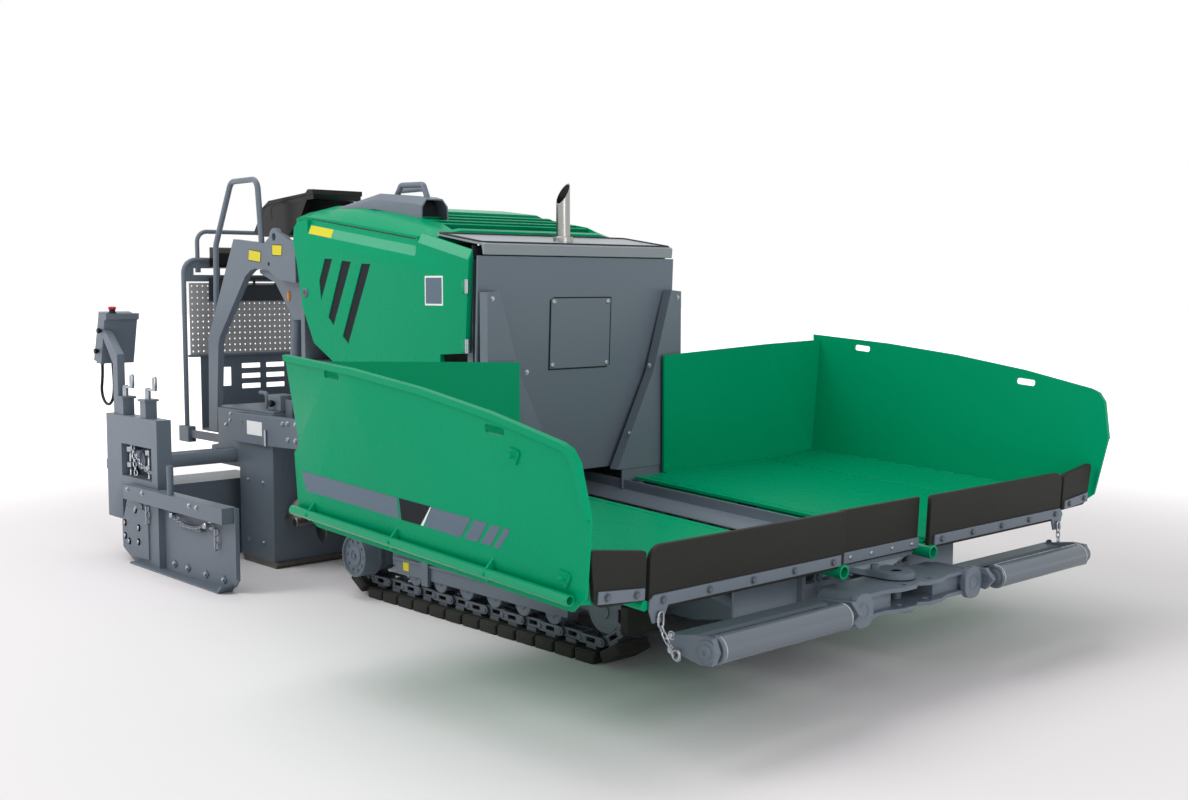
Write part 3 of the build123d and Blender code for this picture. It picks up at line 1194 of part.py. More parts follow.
def auger_hanger():
    """Chain case between the augers and its arm to the chassis."""
    case = cross_plate([(-38, 180), (38, 180), (38, 560), (-38, 560)], AUGER_X - 60, AUGER_X + 60)
    arm = block(AUGER_X + 20, CHASSIS_REAR_X, -CHASSIS_HALF, CHASSIS_HALF, 500, 560)
    return fuse([case, arm])


nodes["auger_case"] = auger_hanger()


# ---- Cylinders ----
def toward(start, end, distance):
    """The point at a distance from start on the way to end."""
    way = Vector(*end) - Vector(*start)
    return tuple(Vector(*start) + way.normalized() * distance)


def cylinder(base, eye, along, barrel_length, barrel_radius, rod_radius, pin_radius, eye_width, rod_inside):
    """Barrel with a bored eye, and rod with a plain eye. along is the unit axis of both pins."""
    half = Vector(*along) * (eye_width / 2)
    head, tip = Vector(*base), Vector(*eye)
    ring = pin_radius + 10
    barrel = bar(toward(base, eye, ring * 0.6), toward(base, eye, barrel_length), barrel_radius, 12)
    barrel += bar(tuple(head - half), tuple(head + half), ring, 12)
    barrel -= bore(tuple(head - half * 1.2), tuple(head + half * 1.2), pin_radius + PIN_CLEARANCE)
    barrel -= bar(toward(base, eye, barrel_radius + 20), toward(base, eye, barrel_length + 1),
                  rod_radius + PIN_CLEARANCE + 0.3)
    stem = bar(toward(base, eye, barrel_length - rod_inside), toward(eye, base, 4), rod_radius)
    stem += bar(tuple(tip - half), tuple(tip + half), ring, 12)
    return barrel, stem


fold_eye_z = floor_z(FOLD_X) - FOLD_EYE_DROP
slope_axis = (math.cos(math.radians(SLOPE_ANGLE)), 0.0, -math.sin(math.radians(SLOPE_ANGLE)))
# square to the hopper's hinge, so that the cylinder swings in one plane
fold_base = (FOLD_X - (fold_eye_z - FOLD_BASE[1]) * FLOOR_SLOPE, *FOLD_BASE)
fold_barrel, fold_rod = cylinder(
    fold_base, (FOLD_X, FOLD_EYE_Y, fold_eye_z), slope_axis,
    FOLD_BARREL_LENGTH, FOLD_BARREL_RADIUS, FOLD_ROD_RADIUS, FOLD_PIN_RADIUS, 44.0, 170.0)
pair("wing_cylinder", fold_barrel)
pair("wing_cylinder_rod", fold_rod)
lift_barrel, lift_rod = cylinder(
    (LIFT_X, LIFT_Y, LIFT_TOP_Z), (LIFT_EYE_X, LIFT_Y, LIFT_PIN_Z), (0.0, 1.0, 0.0),
    LIFT_BARREL_LENGTH, LIFT_BARREL_RADIUS, 11.0, LIFT_PIN_RADIUS, 24.0, 200.0)
pair("lift_cylinder", lift_barrel)
pair("lift_cylinder_rod", lift_rod)


def fold_lugs():
    """Cheeks and pin that carry the wing cylinder's barrel on the chassis, along the slope."""
    x, y, z = fold_base
    pieces = []
    for side in (1, -1):
        x0, x1 = sorted((x + side * 31, x + side * 43))
        pieces.append(cross_plate([(CHASSIS_HALF - 1, z - 34), (y + 18, z - 20), (y + 18, z + 16),
                                   (CHASSIS_HALF - 1, z + 30)], x0, x1))
    half = Vector(*slope_axis) * 38
    pieces.append(rod(tuple(Vector(*fold_base) - half), tuple(Vector(*fold_base) + half), FOLD_PIN_RADIUS))
    return fuse(pieces)


lug = fold_lugs()
nodes["chassis"] = fuse([nodes["chassis"], lug, mirrored(lug)])
eye_cheeks = [
    cross_plate([(FOLD_EYE_Y - 34, fold_eye_z + 40), (FOLD_EYE_Y - 18, fold_eye_z - 16),
                 (FOLD_EYE_Y + 18, fold_eye_z - 16), (FOLD_EYE_Y + 34, fold_eye_z + 40)], x, x + 12)
    for x in (FOLD_X - 37, FOLD_X + 25)]
pair("wing", nodes["left_wing"] + eye_cheeks)
boss = rod((LIFT_X, ARCH_Y + 1, LIFT_TOP_Z), (LIFT_X, LIFT_Y - 14, LIFT_TOP_Z), LIFT_PIN_RADIUS)
both("arches", arch() + boss)


for name, piece in nodes.items():
    export_step(piece, f"parts/{name}.step")
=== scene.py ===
import json
import math
import bmesh
import bpy
import numpy as np
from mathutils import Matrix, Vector


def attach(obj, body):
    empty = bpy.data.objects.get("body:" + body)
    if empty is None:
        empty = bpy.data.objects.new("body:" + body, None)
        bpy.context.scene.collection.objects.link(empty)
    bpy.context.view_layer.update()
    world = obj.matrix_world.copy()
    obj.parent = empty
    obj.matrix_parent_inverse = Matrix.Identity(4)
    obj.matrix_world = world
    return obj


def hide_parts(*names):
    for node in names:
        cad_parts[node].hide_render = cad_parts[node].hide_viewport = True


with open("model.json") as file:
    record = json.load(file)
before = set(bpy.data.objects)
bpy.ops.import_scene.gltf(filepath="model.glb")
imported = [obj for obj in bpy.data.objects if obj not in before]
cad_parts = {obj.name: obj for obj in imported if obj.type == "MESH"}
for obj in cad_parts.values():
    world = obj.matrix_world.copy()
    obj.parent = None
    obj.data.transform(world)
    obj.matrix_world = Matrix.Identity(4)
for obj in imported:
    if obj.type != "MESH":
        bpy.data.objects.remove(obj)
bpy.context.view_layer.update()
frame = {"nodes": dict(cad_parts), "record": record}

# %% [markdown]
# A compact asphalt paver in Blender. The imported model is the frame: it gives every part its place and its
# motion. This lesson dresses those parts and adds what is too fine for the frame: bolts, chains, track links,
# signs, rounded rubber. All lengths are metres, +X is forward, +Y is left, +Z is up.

# %% [markdown]
# The camera stands to the front right of the machine, a little above the hopper's walls. A 41.5 mm lens on a
# 36 mm sensor is close to what the eye expects of a machine this size. The picture is 1188 by 800 pixels.

# %% Camera
CAMERA_PLACE = (5.16, -4.155, 1.4875)
CAMERA_YAW = math.radians(137.6)       # heading of the view, counted from +X
CAMERA_PITCH = math.radians(-4.79)
camera_data = bpy.data.cameras.new("camera")
camera_data.lens = 41.55
camera_data.sensor_width = 36.0
camera = bpy.data.objects.new("camera", camera_data)
bpy.context.scene.collection.objects.link(camera)
camera.location = CAMERA_PLACE
camera.rotation_euler = (math.pi / 2 + CAMERA_PITCH, 0.0, CAMERA_YAW - math.pi / 2)
bpy.context.scene.camera = camera
print("camera at", CAMERA_PLACE)

# %% [markdown]
# Colours are written as sRGB hex codes, as a colour picker shows them, but shaders add light up in linear
# values. One function turns the one into the other. A second function adds a shader node with its settings
# and links, so that a material reads as a list of what it is made of.

# %% Colour and node helpers
def linear(code):
    """sRGB hex code to linear RGBA: each channel goes through the sRGB curve backwards."""
    parts = np.array([int(code[i:i + 2], 16) for i in (0, 2, 4)]) / 255
    curve = np.where(parts <= 0.04045, parts / 12.92, ((parts + 0.055) / 1.055) ** 2.4)
    return (*curve.tolist(), 1.0)


def add(tree, kind, inputs=None, **settings):
    """One node of a kind. inputs gives a socket a value, or another node's output to link to."""
    made = tree.nodes.new("ShaderNode" + kind)
    for name, value in settings.items():
        setattr(made, name, value)
    for key, value in (inputs or {}).items():
        if isinstance(value, bpy.types.NodeSocket):
            tree.links.new(value, made.inputs[key])
        else:
            made.inputs[key].default_value = value
    return made


def new_material(name, **uniform):
    """An empty material: its tree, its shader with the uniform values set, and its object coordinates."""
    material = bpy.data.materials.new(name)
    material.use_nodes = True
    tree = material.node_tree
    shader = tree.nodes["Principled BSDF"]
    for socket, value in uniform.items():
        shader.inputs[socket.replace("_", " ")].default_value = value
    place = add(tree, "TexCoord").outputs["Object"]
    return material, tree, shader, place


def wire_up(tree, shader, tint, codes, skin, strength, distance, gloss=None, low=0.0, high=0.0):
    """The field tint blends two colour codes and the field skin raises the surface. The field gloss, where
    there is one, spreads the roughness from low to high."""
    tone = add(tree, "Mix", {"Factor": tint, 6: linear(codes[0]), 7: linear(codes[1])}, data_type="RGBA")
    tree.links.new(tone.outputs[2], shader.inputs["Base Color"])
    bump = add(tree, "Bump", {"Height": skin, "Strength": strength, "Distance": distance})
    tree.links.new(bump.outputs["Normal"], shader.inputs["Normal"])
    if gloss is not None:
        spread = add(tree, "MapRange", {"Value": gloss, "From Min": 0.3, "From Max": 0.7, "To Min": low,
                                        "To Max": high})
        tree.links.new(spread.outputs["Result"], shader.inputs["Roughness"])


# %% [markdown]
# Most of the machine is steel sheet with a baked powder coat: a smooth skin with a faint orange peel, whose
# grains are two to three millimetres across. New paint is even: the colour drifts by a shade over a metre,
# and the gloss by a little over a few centimetres. Films and gauze are made by the same function.

# %% Powder-coated steel
def powder_coat(name, colour, shade, rough, shine=0.25, grain=0.0025):
    """Colour drifts slowly towards a shade, gloss drifts faster, and a fine noise gives the orange peel."""
    material, tree, shader, place = new_material(name, Specular_IOR_Level=shine)
    drift = add(tree, "TexNoise", {"Vector": place, "Scale": 1.4, "Detail": 3.0})
    handled = add(tree, "TexNoise", {"Vector": place, "Scale": 26.0, "Detail": 6.0, "Roughness": 0.7})
    peel = add(tree, "TexNoise", {"Vector": place, "Scale": 1.0 / grain, "Detail": 1.0})
    wire_up(tree, shader, drift.outputs["Fac"], (colour, shade), peel.outputs["Fac"], 0.03, 0.0002,
            handled.outputs["Fac"], rough - 0.02, rough + 0.03)
    return material


green_coat = powder_coat("powder_coat_green", "00986A", "009063", 0.28, 0.05)
gloss_green = powder_coat("glossy_enamel_green", "00986A", "009063", 0.13, 0.2)
grey_coat = powder_coat("powder_coat_grey", "6B7580", "636D78", 0.36, 0.25)
roller_coat = powder_coat("glossy_enamel_grey", "626B75", "5C656F", 0.24, 0.5, 0.02)
dark_coat = powder_coat("powder_coat_dark_grey", "353A41", "2E3339", 0.5)
# Pale green for the doors' chamfers and crease: painted reflection and painted highlight, not a film the
# machine has.
painted_sheen_green = powder_coat("painted_sheen_pale_green", "45A67F", "419E79", 0.5, 0.2, 0.006)
yellow_film = powder_coat("vinyl_film_yellow", "D9CC22", "D0C31F", 0.4)
slate_film = powder_coat("vinyl_film_slate", "5A6B7B", "566776", 0.4)
white_film = powder_coat("vinyl_film_white", "F0F2F2", "E8EAEA", 0.4)
# Black for gauze and sign print, and also for painted shade in the lid's gap and in the tongue's bore.
black_gauze_and_shade = powder_coat("black_gauze_print_and_painted_shade", "22262A", "1D2024", 0.6, 0.1, 0.004)
# The lid's grey is lighter than the grey paint: partly its own colour, partly painted sheen on its top.
lid_grey_and_painted_sheen = powder_coat("light_grey_coat_and_painted_sheen", "868D94", "7F868D", 0.3, 0.4)
print("powder coats and films made")

# %% [markdown]
# Hopper flaps, track pads and cable sheaths are vulcanised rubber: nearly black, dull, with a fine pebbled
# skin and slightly paler scuffs where it has been rubbed.

# %% Vulcanised rubber
def rubber(name, colour, scuff, grain, rough=0.62):
    """Pale scuffs where a stretched noise peaks. grain is the size of the skin's pebbles in metres."""
    material, tree, shader, place = new_material(name, Roughness=rough, Specular_IOR_Level=0.2)
    stretched = add(tree, "Mapping", {"Vector": place, "Scale": (5.0, 3.0, 14.0)})
    rub = add(tree, "TexNoise", {"Vector": stretched.outputs["Vector"], "Scale": 1.0, "Detail": 5.0})
    mark = add(tree, "MapRange", {"Value": rub.outputs["Fac"], "From Min": 0.5, "From Max": 0.85,
                                  "To Max": 0.3})
    pebbles = add(tree, "TexVoronoi", {"Vector": place, "Scale": 1.0 / grain})
    wire_up(tree, shader, mark.outputs["Result"], (colour, scuff), pebbles.outputs["Distance"], 0.15, 0.0005)
    return material


flap_rubber = rubber("vulcanised_rubber_flap", "222320", "2C2D2A", 0.004)
pad_rubber = rubber("vulcanised_rubber_pad", "2B2C28", "3C3B36", 0.006)
sheath_rubber = rubber("cable_sheath_rubber", "17181A", "26272A", 0.002, 0.5)
print("rubbers made")

# %% [markdown]
# Bare metal comes in a few finishes: forged and cast steel of the tracks, steel rubbed bright by hot asphalt,
# hard chrome on the rods, zinc on bolts and chain, and stainless steel on the exhaust.

# %% Bare metals
def metal(name, colour, tarnish, rough, spread, grain=(30.0, 30.0, 30.0), bump=0.1, metallic=1.0):
    """Tarnish where a noise is high. The noise is stretched by grain to give brushing a direction."""
    material, tree, shader, place = new_material(name, Metallic=metallic)
    stretched = add(tree, "Mapping", {"Vector": place, "Scale": grain})
    noise = add(tree, "TexNoise", {"Vector": stretched.outputs["Vector"], "Scale": 1.0, "Detail": 8.0,
                                   "Roughness": 0.7})
    field = noise.outputs["Fac"]
    wire_up(tree, shader, field, (colour, tarnish), field, bump, 0.0006,
            field, rough - spread, rough + spread)
    return material


cast_steel = metal("painted_cast_track_steel", "626A73", "4E555D", 0.46, 0.08, (60.0, 60.0, 60.0), 0.2, 0.25)
worn_steel = metal("asphalt_polished_steel", "8D8A84", "5B5853", 0.34, 0.1, (8.0, 60.0, 60.0), 0.15)
chrome = metal("hard_chrome", "D5D7DA", "BFC2C6", 0.12, 0.04, (40.0, 40.0, 40.0), 0.02)
zinc = metal("zinc_plated_steel", "B4B9BF", "8F949A", 0.3, 0.1, (90.0, 90.0, 90.0), 0.1, 0.9)
stainless = metal("stainless_exhaust_steel", "A6A6A4", "8F8E8A", 0.26, 0.04, (5.0, 5.0, 2.0), 0.01)
perforated_steel = metal("zinc_coated_sheet", "B9B9B9", "8F9091", 0.45, 0.06, (2.2, 2.2, 2.2), 0.03, 0.25)
engine_iron = metal("painted_cast_iron", "4B4F54", "33363A", 0.6, 0.1, (25.0, 25.0, 25.0), 0.3, 0.2)
print("metals made")

# %% [markdown]
# The console's housing and the tool box are moulded from black polypropylene with a leather-like grain, which
# breaks up its highlights. The red buttons and the amber lens are made by the same function.

# %% Moulded plastic
def plastic(name, colour, pale, rough, grain=0.0016):
    """A cellular bump of the mould's grain, and slow fading towards pale."""
    material, tree, shader, place = new_material(name, Roughness=rough, Specular_IOR_Level=0.25)
    fade = add(tree, "TexNoise", {"Vector": place, "Scale": 4.0, "Detail": 5.0})
    cells = add(tree, "TexVoronoi", {"Vector": place, "Scale": 1.0 / grain}, feature="SMOOTH_F1")
    wire_up(tree, shader, fade.outputs["Fac"], (colour, pale), cells.outputs["Distance"], 0.15, 0.0003)
    return material


black_plastic = plastic("grained_black_polypropylene", "08090A", "0E0F10", 0.3)
red_plastic = plastic("button_red_polycarbonate", "C8202A", "B81C26", 0.3)
amber_lens = plastic("amber_lens_acrylic", "D9913F", "C9802F", 0.22, 0.004)
print("plastics made")

# %% [markdown]
# New pieces are worked out with numpy. A shape is a pair: an array of points, and a list of faces. Most are
# grids: a function of two parameters sampled on rows and columns, with four-sided faces between neighbours.
# Four functions are enough for nearly everything here: a profile turned about an axis, a profile carried
# along a path, a flat plate with a thickness, and many copies of one shape.

# %% Grids, turned and carried profiles
X, Y, Z = np.eye(3)
ORIGIN = np.zeros(3)


def unit(v):
    """A vector, or each row of vectors, divided by its length."""
    v = np.asarray(v, float)
    return v / np.linalg.norm(v, axis=-1, keepdims=True)


def grid(points, wrap_rows=False, wrap_columns=False):
    """Faces between neighbours of an (n, m, 3) array. A wrapped side joins its last line to its first."""
    n, m = points.shape[:2]
    i, j = np.meshgrid(np.arange(n if wrap_rows else n - 1), np.arange(m if wrap_columns else m - 1),
                       indexing="ij")
    a, b = (i + 1) % n, (j + 1) % m
    faces = np.stack([i * m + j, a * m + j, a * m + b, i * m + b], axis=-1).reshape(-1, 4)
    return points.reshape(-1, 3), faces.tolist()


def frame_of(axis):
    """Two unit vectors square to the axis and to each other, the second as near to Z as it can be, or to X
    for an axis along Z."""
    axis = unit(axis)
    side = unit(np.cross(axis, X if abs(axis @ Z) > 0.95 else Z))
    return side, np.cross(side, axis)


def turned(profile, start, axis, sides):
    """Profile rows of (radius, along): point = start + along * axis + radius * (cos t * u + sin t * v)."""
    u, v = frame_of(axis)
    t = np.arange(sides) * 2 * math.pi / sides
    round_ring = np.cos(t)[:, None] * u + np.sin(t)[:, None] * v
    radius, along = np.asarray(profile, float).T
    points = (np.asarray(start, float) + along[:, None, None] * unit(axis)
              + radius[:, None, None] * round_ring[None])
    return grid(points, wrap_columns=True)


def stub(radius, low, high, start, axis, sides):
    """A plain cylinder between two heights along an axis."""
    return turned([(0, low), (radius, low), (radius, high), (0, high)], start, axis, sides)


def carried(outline, path, up=Z, closed=False):
    """Outline rows of (side, rise) at every path point: point = path + side * s + rise * r, where s and r are
    square to the path's direction there. The ends of an open path close on their middles."""
    path, outline = np.asarray(path, float), np.asarray(outline, float)
    if closed:
        run = np.roll(path, -1, axis=0) - np.roll(path, 1, axis=0)
    else:
        run = np.gradient(path, axis=0)
    side = unit(np.cross(run, up))
    rise = unit(np.cross(side, run))
    points = (path[:, None] + outline[None, :, 0, None] * side[:, None]
              + outline[None, :, 1, None] * rise[:, None])
    if not closed:
        first = np.repeat(points[:1].mean(axis=1, keepdims=True), points.shape[1], axis=1)
        last = np.repeat(points[-1:].mean(axis=1, keepdims=True), points.shape[1], axis=1)
        points = np.concatenate([first, points, last])
    return grid(points, wrap_rows=closed, wrap_columns=True)


def disc(radius, sides=16):
    """Points round a circle, as (side, rise)."""
    t = np.arange(sides) * 2 * math.pi / sides
    return np.stack([radius * np.cos(t), radius * np.sin(t)], axis=1)


def arc(before, corner, after, radius, steps):
    """Points at equal angles on a circle that touches both lines of a corner: its centre is
    radius / sin(half the corner's angle) away from the corner."""
    a, b = unit(before - corner), unit(after - corner)
    half = math.acos(np.clip(a @ b, -1, 1)) / 2
    centre = corner + unit(a + b) * radius / math.sin(half)
    first, last = [corner + v * radius / math.tan(half) - centre for v in (a, b)]
    turn = math.pi - 2 * half
    t = np.linspace(0, turn, steps)[:, None]
    return centre + (first * np.sin(turn - t) + last * np.sin(t)) / math.sin(turn)


def smooth_path(corners, bend, steps):
    """Straight runs whose corners become arcs of radius bend."""
    corners = np.asarray(corners, float)
    bends = [arc(*three, bend, steps) for three in zip(corners, corners[1:], corners[2:])]
    return np.concatenate([corners[:1], *bends, corners[-1:]])


def tube(corners, radius, bend=0.05, sides=16, steps=7):
    """A round bar along straight runs with rounded corners."""
    path = smooth_path(corners, bend, steps)
    run = path[-1] - path[0]
    flat = np.ptp(path, axis=0).argmin()
    up = np.eye(3)[flat] + 0.001 * unit(run + 0.01)
    return carried(disc(radius, sides), path, up=up)


# %% Plates, copies and joins
def rounded(corners, radius, steps=5):
    """An outline of flat (a, b) points whose corners are rounded; radius is one value or one for each."""
    corners = np.asarray(corners, float)
    radii = np.broadcast_to(np.asarray(radius, float), len(corners))
    around = zip(np.roll(corners, 1, 0), corners, np.roll(corners, -1, 0), radii)
    return np.concatenate([arc(*three, r, steps) for *three, r in around])


def oblong(half_a, half_b, radius, steps):
    """A rectangle round the origin with rounded corners."""
    a, b = half_a, half_b
    return rounded([(-a, -b), (a, -b), (a, b), (-a, b)], radius, steps)


def prism(back, front):
    """Two loops of equal count as two faces, and the walls between them."""
    n = len(back)
    i = np.arange(n)
    j = (i + 1) % n
    walls = np.stack([i, j, j + n, i + n], axis=1).tolist()
    return np.concatenate([back, front]), [list(range(n))[::-1], list(range(n, 2 * n)), *walls]


def plate(outline, origin, across, up, thick):
    """A flat outline of (a, b) points: point = origin + a * across + b * up. The same loop once more, moved
    by the thickness along their normal, and the walls between."""
    across, up = unit(across), unit(up)
    outline = np.asarray(outline, float)
    back = np.asarray(origin, float) + outline[:, :1] * across + outline[:, 1:] * up
    return prism(back, back + thick * np.cross(across, up))


def slab(low, high):
    """A box between two corners."""
    low, high = np.asarray(low, float), np.asarray(high, float)
    size = high - low
    return plate([(0, 0), (size[0], 0), (size[0], size[1]), (0, size[1])], low, X, Y, size[2])


def join(*shapes):
    """Several shapes as one: the faces of each count on from the points before it."""
    points, faces, start = [], [], 0
    for p, f in shapes:
        points.append(p)
        faces += [[i + start for i in face] for face in f]
        start += len(p)
    return np.concatenate(points), faces


def copies(shape, places, x_axes, z_axes):
    """The shape at every place, its x and z turned to the given axes: point = place + p @ axes."""
    points, faces = shape
    places = np.atleast_2d(np.asarray(places, float))
    x = unit(np.broadcast_to(np.asarray(x_axes, float), places.shape))
    z = unit(np.broadcast_to(np.asarray(z_axes, float), places.shape))
    y = unit(np.cross(z, x))
    axes = np.stack([np.cross(y, z), y, z], axis=1)
    moved = places[:, None] + np.einsum("pk,nkd->npd", points, axes)
    table = [[i + n * len(points) for i in face] for n in range(len(places)) for face in faces]
    return moved.reshape(-1, 3), table


def mirrored(shape):
    """The same shape on the other side of the machine."""
    points, faces = shape
    return points * np.array((1.0, -1.0, 1.0)), [face[::-1] for face in faces]


# %% [markdown]
# A finished piece is one object at the origin with its place in its mesh. Its doubled points are merged and
# its faces turned outwards. A narrow Bevel modifier rounds the edges of what is cut or folded from sheet.

# %% Turning a shape into a piece
BODY_OF = {node: body for body, nodes in frame["record"]["behaviour"]["bodies"].items() for node in nodes}
SLOT_OF = {row["node"]: row["material_slot"] for row in frame["record"]["subparts"]}
SLOTS = (("green_paint", (green_coat, gloss_green, painted_sheen_green)), ("track_steel", (cast_steel, zinc)),
         ("flap_rubber", (flap_rubber, pad_rubber, sheath_rubber)), ("worn_steel", (worn_steel,)),
         ("black_plastic", (black_gauze_and_shade, black_plastic, red_plastic, amber_lens)), ("chrome", (chrome,)),
         ("stainless_steel", (stainless,)))
USUAL_SLOT = {material.name: slot for slot, materials in SLOTS for material in materials}
SAME_POINT = 2e-6          # points nearer than this are merged
SIDES = ("left", "right")
tally = []


def finish(piece, material, body, slot, edge, smooth, replaces=()):
    """Material, shading, edge rounding and the body that the piece rides on."""
    mesh = piece.data
    mesh.materials.clear()
    mesh.materials.append(material)
    mesh.polygons.foreach_set("use_smooth", [True] * len(mesh.polygons))
    mesh.set_sharp_from_angle(angle=math.radians(smooth))
    bpy.context.scene.collection.objects.link(piece)
    if edge:
        bevel = piece.modifiers.new("edges", "BEVEL")
        bevel.width = edge
        bevel.segments = 2
        bevel.limit_method = "ANGLE"
        bevel.angle_limit = math.radians(smooth)
        bevel.harden_normals = True
    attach(piece, body)
    for node in replaces:
        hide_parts(node)
    tally.append(len(mesh.polygons))


def piece(name, shape, material, body="tractor", slot=None, edge=0.0, smooth=30.0, replaces=()):
    """A shape of points and faces as a finished object. Without a slot its material's usual one is looked up,
    or else grey_paint, and passed on, but nothing uses it."""
    mesh = bpy.data.meshes.new(name)
    mesh.from_pydata(shape[0].tolist(), [], shape[1])
    work = bmesh.new()
    work.from_mesh(mesh)
    bmesh.ops.remove_doubles(work, verts=work.verts, dist=SAME_POINT)
    bmesh.ops.recalc_face_normals(work, faces=work.faces)
    work.to_mesh(mesh)
    work.free()
    slot = slot or USUAL_SLOT.get(material.name, "grey_paint")
    finish(bpy.data.objects.new(name, mesh), material, body, slot, edge, smooth, replaces)


def pair(name, shape, material, body="tractor", slot=None, edge=0.0, smooth=30.0, replaces=()):
    """A left piece, and its mirror image as the right one. {side} in body and replaces is left or right."""
    for side, half in zip(SIDES, (shape, mirrored(shape))):
        piece(f"{side}_{name}", half, material, body.format(side=side), slot, edge, smooth,
              [node.format(side=side) for node in replaces])


# %% [markdown]
# A part of the frame has its exact shape, but its edges are mathematically sharp, and real sheet never is. A
# copy of each node is merged, its flat faces are joined, and its edges are rounded, which catches the light.

# %% Dressing the nodes of the frame
def dress(node, material, edge=0.002, smooth=35.0):
    """A merged copy of a node with rounded edges stands for that node."""
    mesh = frame["nodes"][node].data.copy()
    work = bmesh.new()
    work.from_mesh(mesh)
    bmesh.ops.remove_doubles(work, verts=work.verts, dist=SAME_POINT)
    bmesh.ops.dissolve_limit(work, angle_limit=math.radians(1.0), verts=work.verts, edges=work.edges)
    work.to_mesh(mesh)
    work.free()
    skin = bpy.data.objects.new(f"{node}_skin", mesh)
    finish(skin, material, BODY_OF[node], SLOT_OF[node], edge, smooth, (node,))


def both(name):
    return [f"{side}_{name}" for side in SIDES]


COATS = (
    (green_coat, 0.003, (*both("wing"), *both("side_door"), "hood_top")),
    (grey_coat, 0.003, ("front_panel", "deflectors", "arches", "screed_body", "push_beam", "tow_arms",
                        "air_scoop", *both("extension"), *both("end_gate"), "rear_wall", "engine_bay_frame",
                        "track_frames", "final_drives", "chassis", "conveyor", "auger_case", "platform",
                        *both("control_panel"), *both("wing_cylinder"), *both("lift_cylinder"))),
    (flap_rubber, 0.003, ("centre_flap",)),
    (grey_coat, 0.002, (*both("flap_strips"), "centre_strip")),
    (worn_steel, 0.002, ("feeder_chain", "screed_sole")),
    (engine_iron, 0.004, ("engine",)),
    (black_plastic, 0.004, ("console", "tool_box")),
)
for coat, edge, nodes in COATS:
    for node in nodes:
        dress(node, coat, edge)
print("nodes dressed", sum(len(nodes) for _, _, nodes in COATS), "of", len(frame["nodes"]))

# %% [markdown]
# Small things that repeat are drawn once, standing on the origin with Z as their axis: a hexagon bolt on its
# washer, a button screw, a chain link.

# %% Bolts, screws, films and chains
def bolt(radius, height, washer):
    """A washer and a chamfered head of six sides, both turned about Z."""
    foot, chamfer = 0.002, 0.0015
    top = foot + height
    head = [(0, foot), (radius, foot), (radius, top - chamfer), (radius - chamfer, top), (0, top)]
    return join(stub(washer, 0, foot, ORIGIN, Z, 20), turned(head, ORIGIN, Z, 6))


def screw(radius, height):
    """A domed head with a round socket, turned about Z."""
    dome = np.array([(0, 0), (1, 0), (1, 0.3), (0.8, 0.85), (0.45, 1), (0.45, 0.4), (0, 0.4)])
    return turned(dome * (radius, height), ORIGIN, Z, 18)


def heads(head, y, spots):
    """A bolt or screw at every (x, z) spot of a plane that faces left."""
    return copies(head, [(x, y, z) for x, z in spots], X, Y)


def film(corners, lift=0.0005, thick=0.0006):
    """A thin sheet over a flat face, a little above it, its corners going round as seen from outside."""
    corners = np.asarray(corners, float)
    normal = unit(np.cross(corners[1] - corners[0], corners[2] - corners[1]))
    return prism(corners + lift * normal, corners + (lift + thick) * normal)


def lengths(line):
    """The length along a line of points, up to each of them."""
    return np.concatenate([[0], np.cumsum(np.linalg.norm(np.diff(line, axis=0), axis=1))])


def spaced(line, count):
    """Points that part a line into equal lengths, both ends included."""
    length = lengths(line)
    at = np.linspace(0, length[-1], count + 1)
    return np.stack([np.interp(at, length, column) for column in line.T], axis=1)


def ringed(outline, hole, origin, across, up, thick, count=32):
    """A plate with one hole: four loops of equal count, back outer, front outer, front inner, back inner."""
    normal = np.cross(across, up) * thick
    loops = [spaced(np.concatenate([line, line[:1]]), count)[:-1]
             for line in map(np.asarray, (outline, hole))]
    outer, inner = [np.asarray(origin, float) + loop[:, :1] * across + loop[:, 1:] * up for loop in loops]
    return grid(np.stack([outer, outer + normal, inner + normal, inner]), True, True)


def ball(radius, centre, sides=20):
    """A sphere: a half circle turned about Z."""
    t = np.linspace(0, math.pi, sides // 2 + 1)
    return turned(np.stack([radius * np.sin(t), -radius * np.cos(t)], axis=1), centre, Z, sides)


def chain(start, end, sag, pitch=0.02, wire=0.0028):
    """Oval links along a hanging curve, point = start + t * (end - start) - 4 * sag * t * (1 - t) downwards,
    every second link turned by a quarter."""
    start, end = np.asarray(start, float), np.asarray(end, float)
    t = np.linspace(0, 1, 200)[:, None]
    curve = start + t * (end - start) - 4 * sag * t * (1 - t) * Z
    count = max(2, round(lengths(curve)[-1] / pitch))
    nodes = spaced(curve, count)
    run = unit(np.diff(nodes, axis=0))
    side = unit(np.cross(run, (0.13, 0.31, 0.94)))       # square to the run, whichever way the chain hangs
    quarter = np.where((np.arange(count) % 2)[:, None] == 0, side, np.cross(run, side))
    half, round_part = pitch / 2 + wire * 0.9, pitch * 0.36
    loop = oblong(half, round_part, round_part * 0.98, 6)
    oval = carried(disc(wire, 8), np.column_stack([loop, np.zeros(len(loop))]), closed=True)
    return copies(oval, (nodes[1:] + nodes[:-1]) / 2, run, quarter)


def threaded(start, length):
    """An upright screw: a sawtooth of the thread's pitch, turned."""
    radius, pitch = 0.012, 0.006
    root = 0.84 * radius
    steps = np.arange(2 * int(length / pitch) + 1)
    tooth = np.stack([np.where(steps % 2 == 0, root, radius), steps * pitch / 2], axis=1)
    return turned([(0, 0), *tooth, (0, tooth[-1, 1])], start, Z, 16)


def tilted(shape, origin, angle):
    """A shape drawn level, turned about the Y axis so that its front dips by the angle, then moved."""
    points, faces = shape
    x, y, z = points.T
    c, s = math.cos(angle), math.sin(angle)
    return np.stack([x * c + z * s, y, z * c - x * s], axis=1) + np.asarray(origin), faces


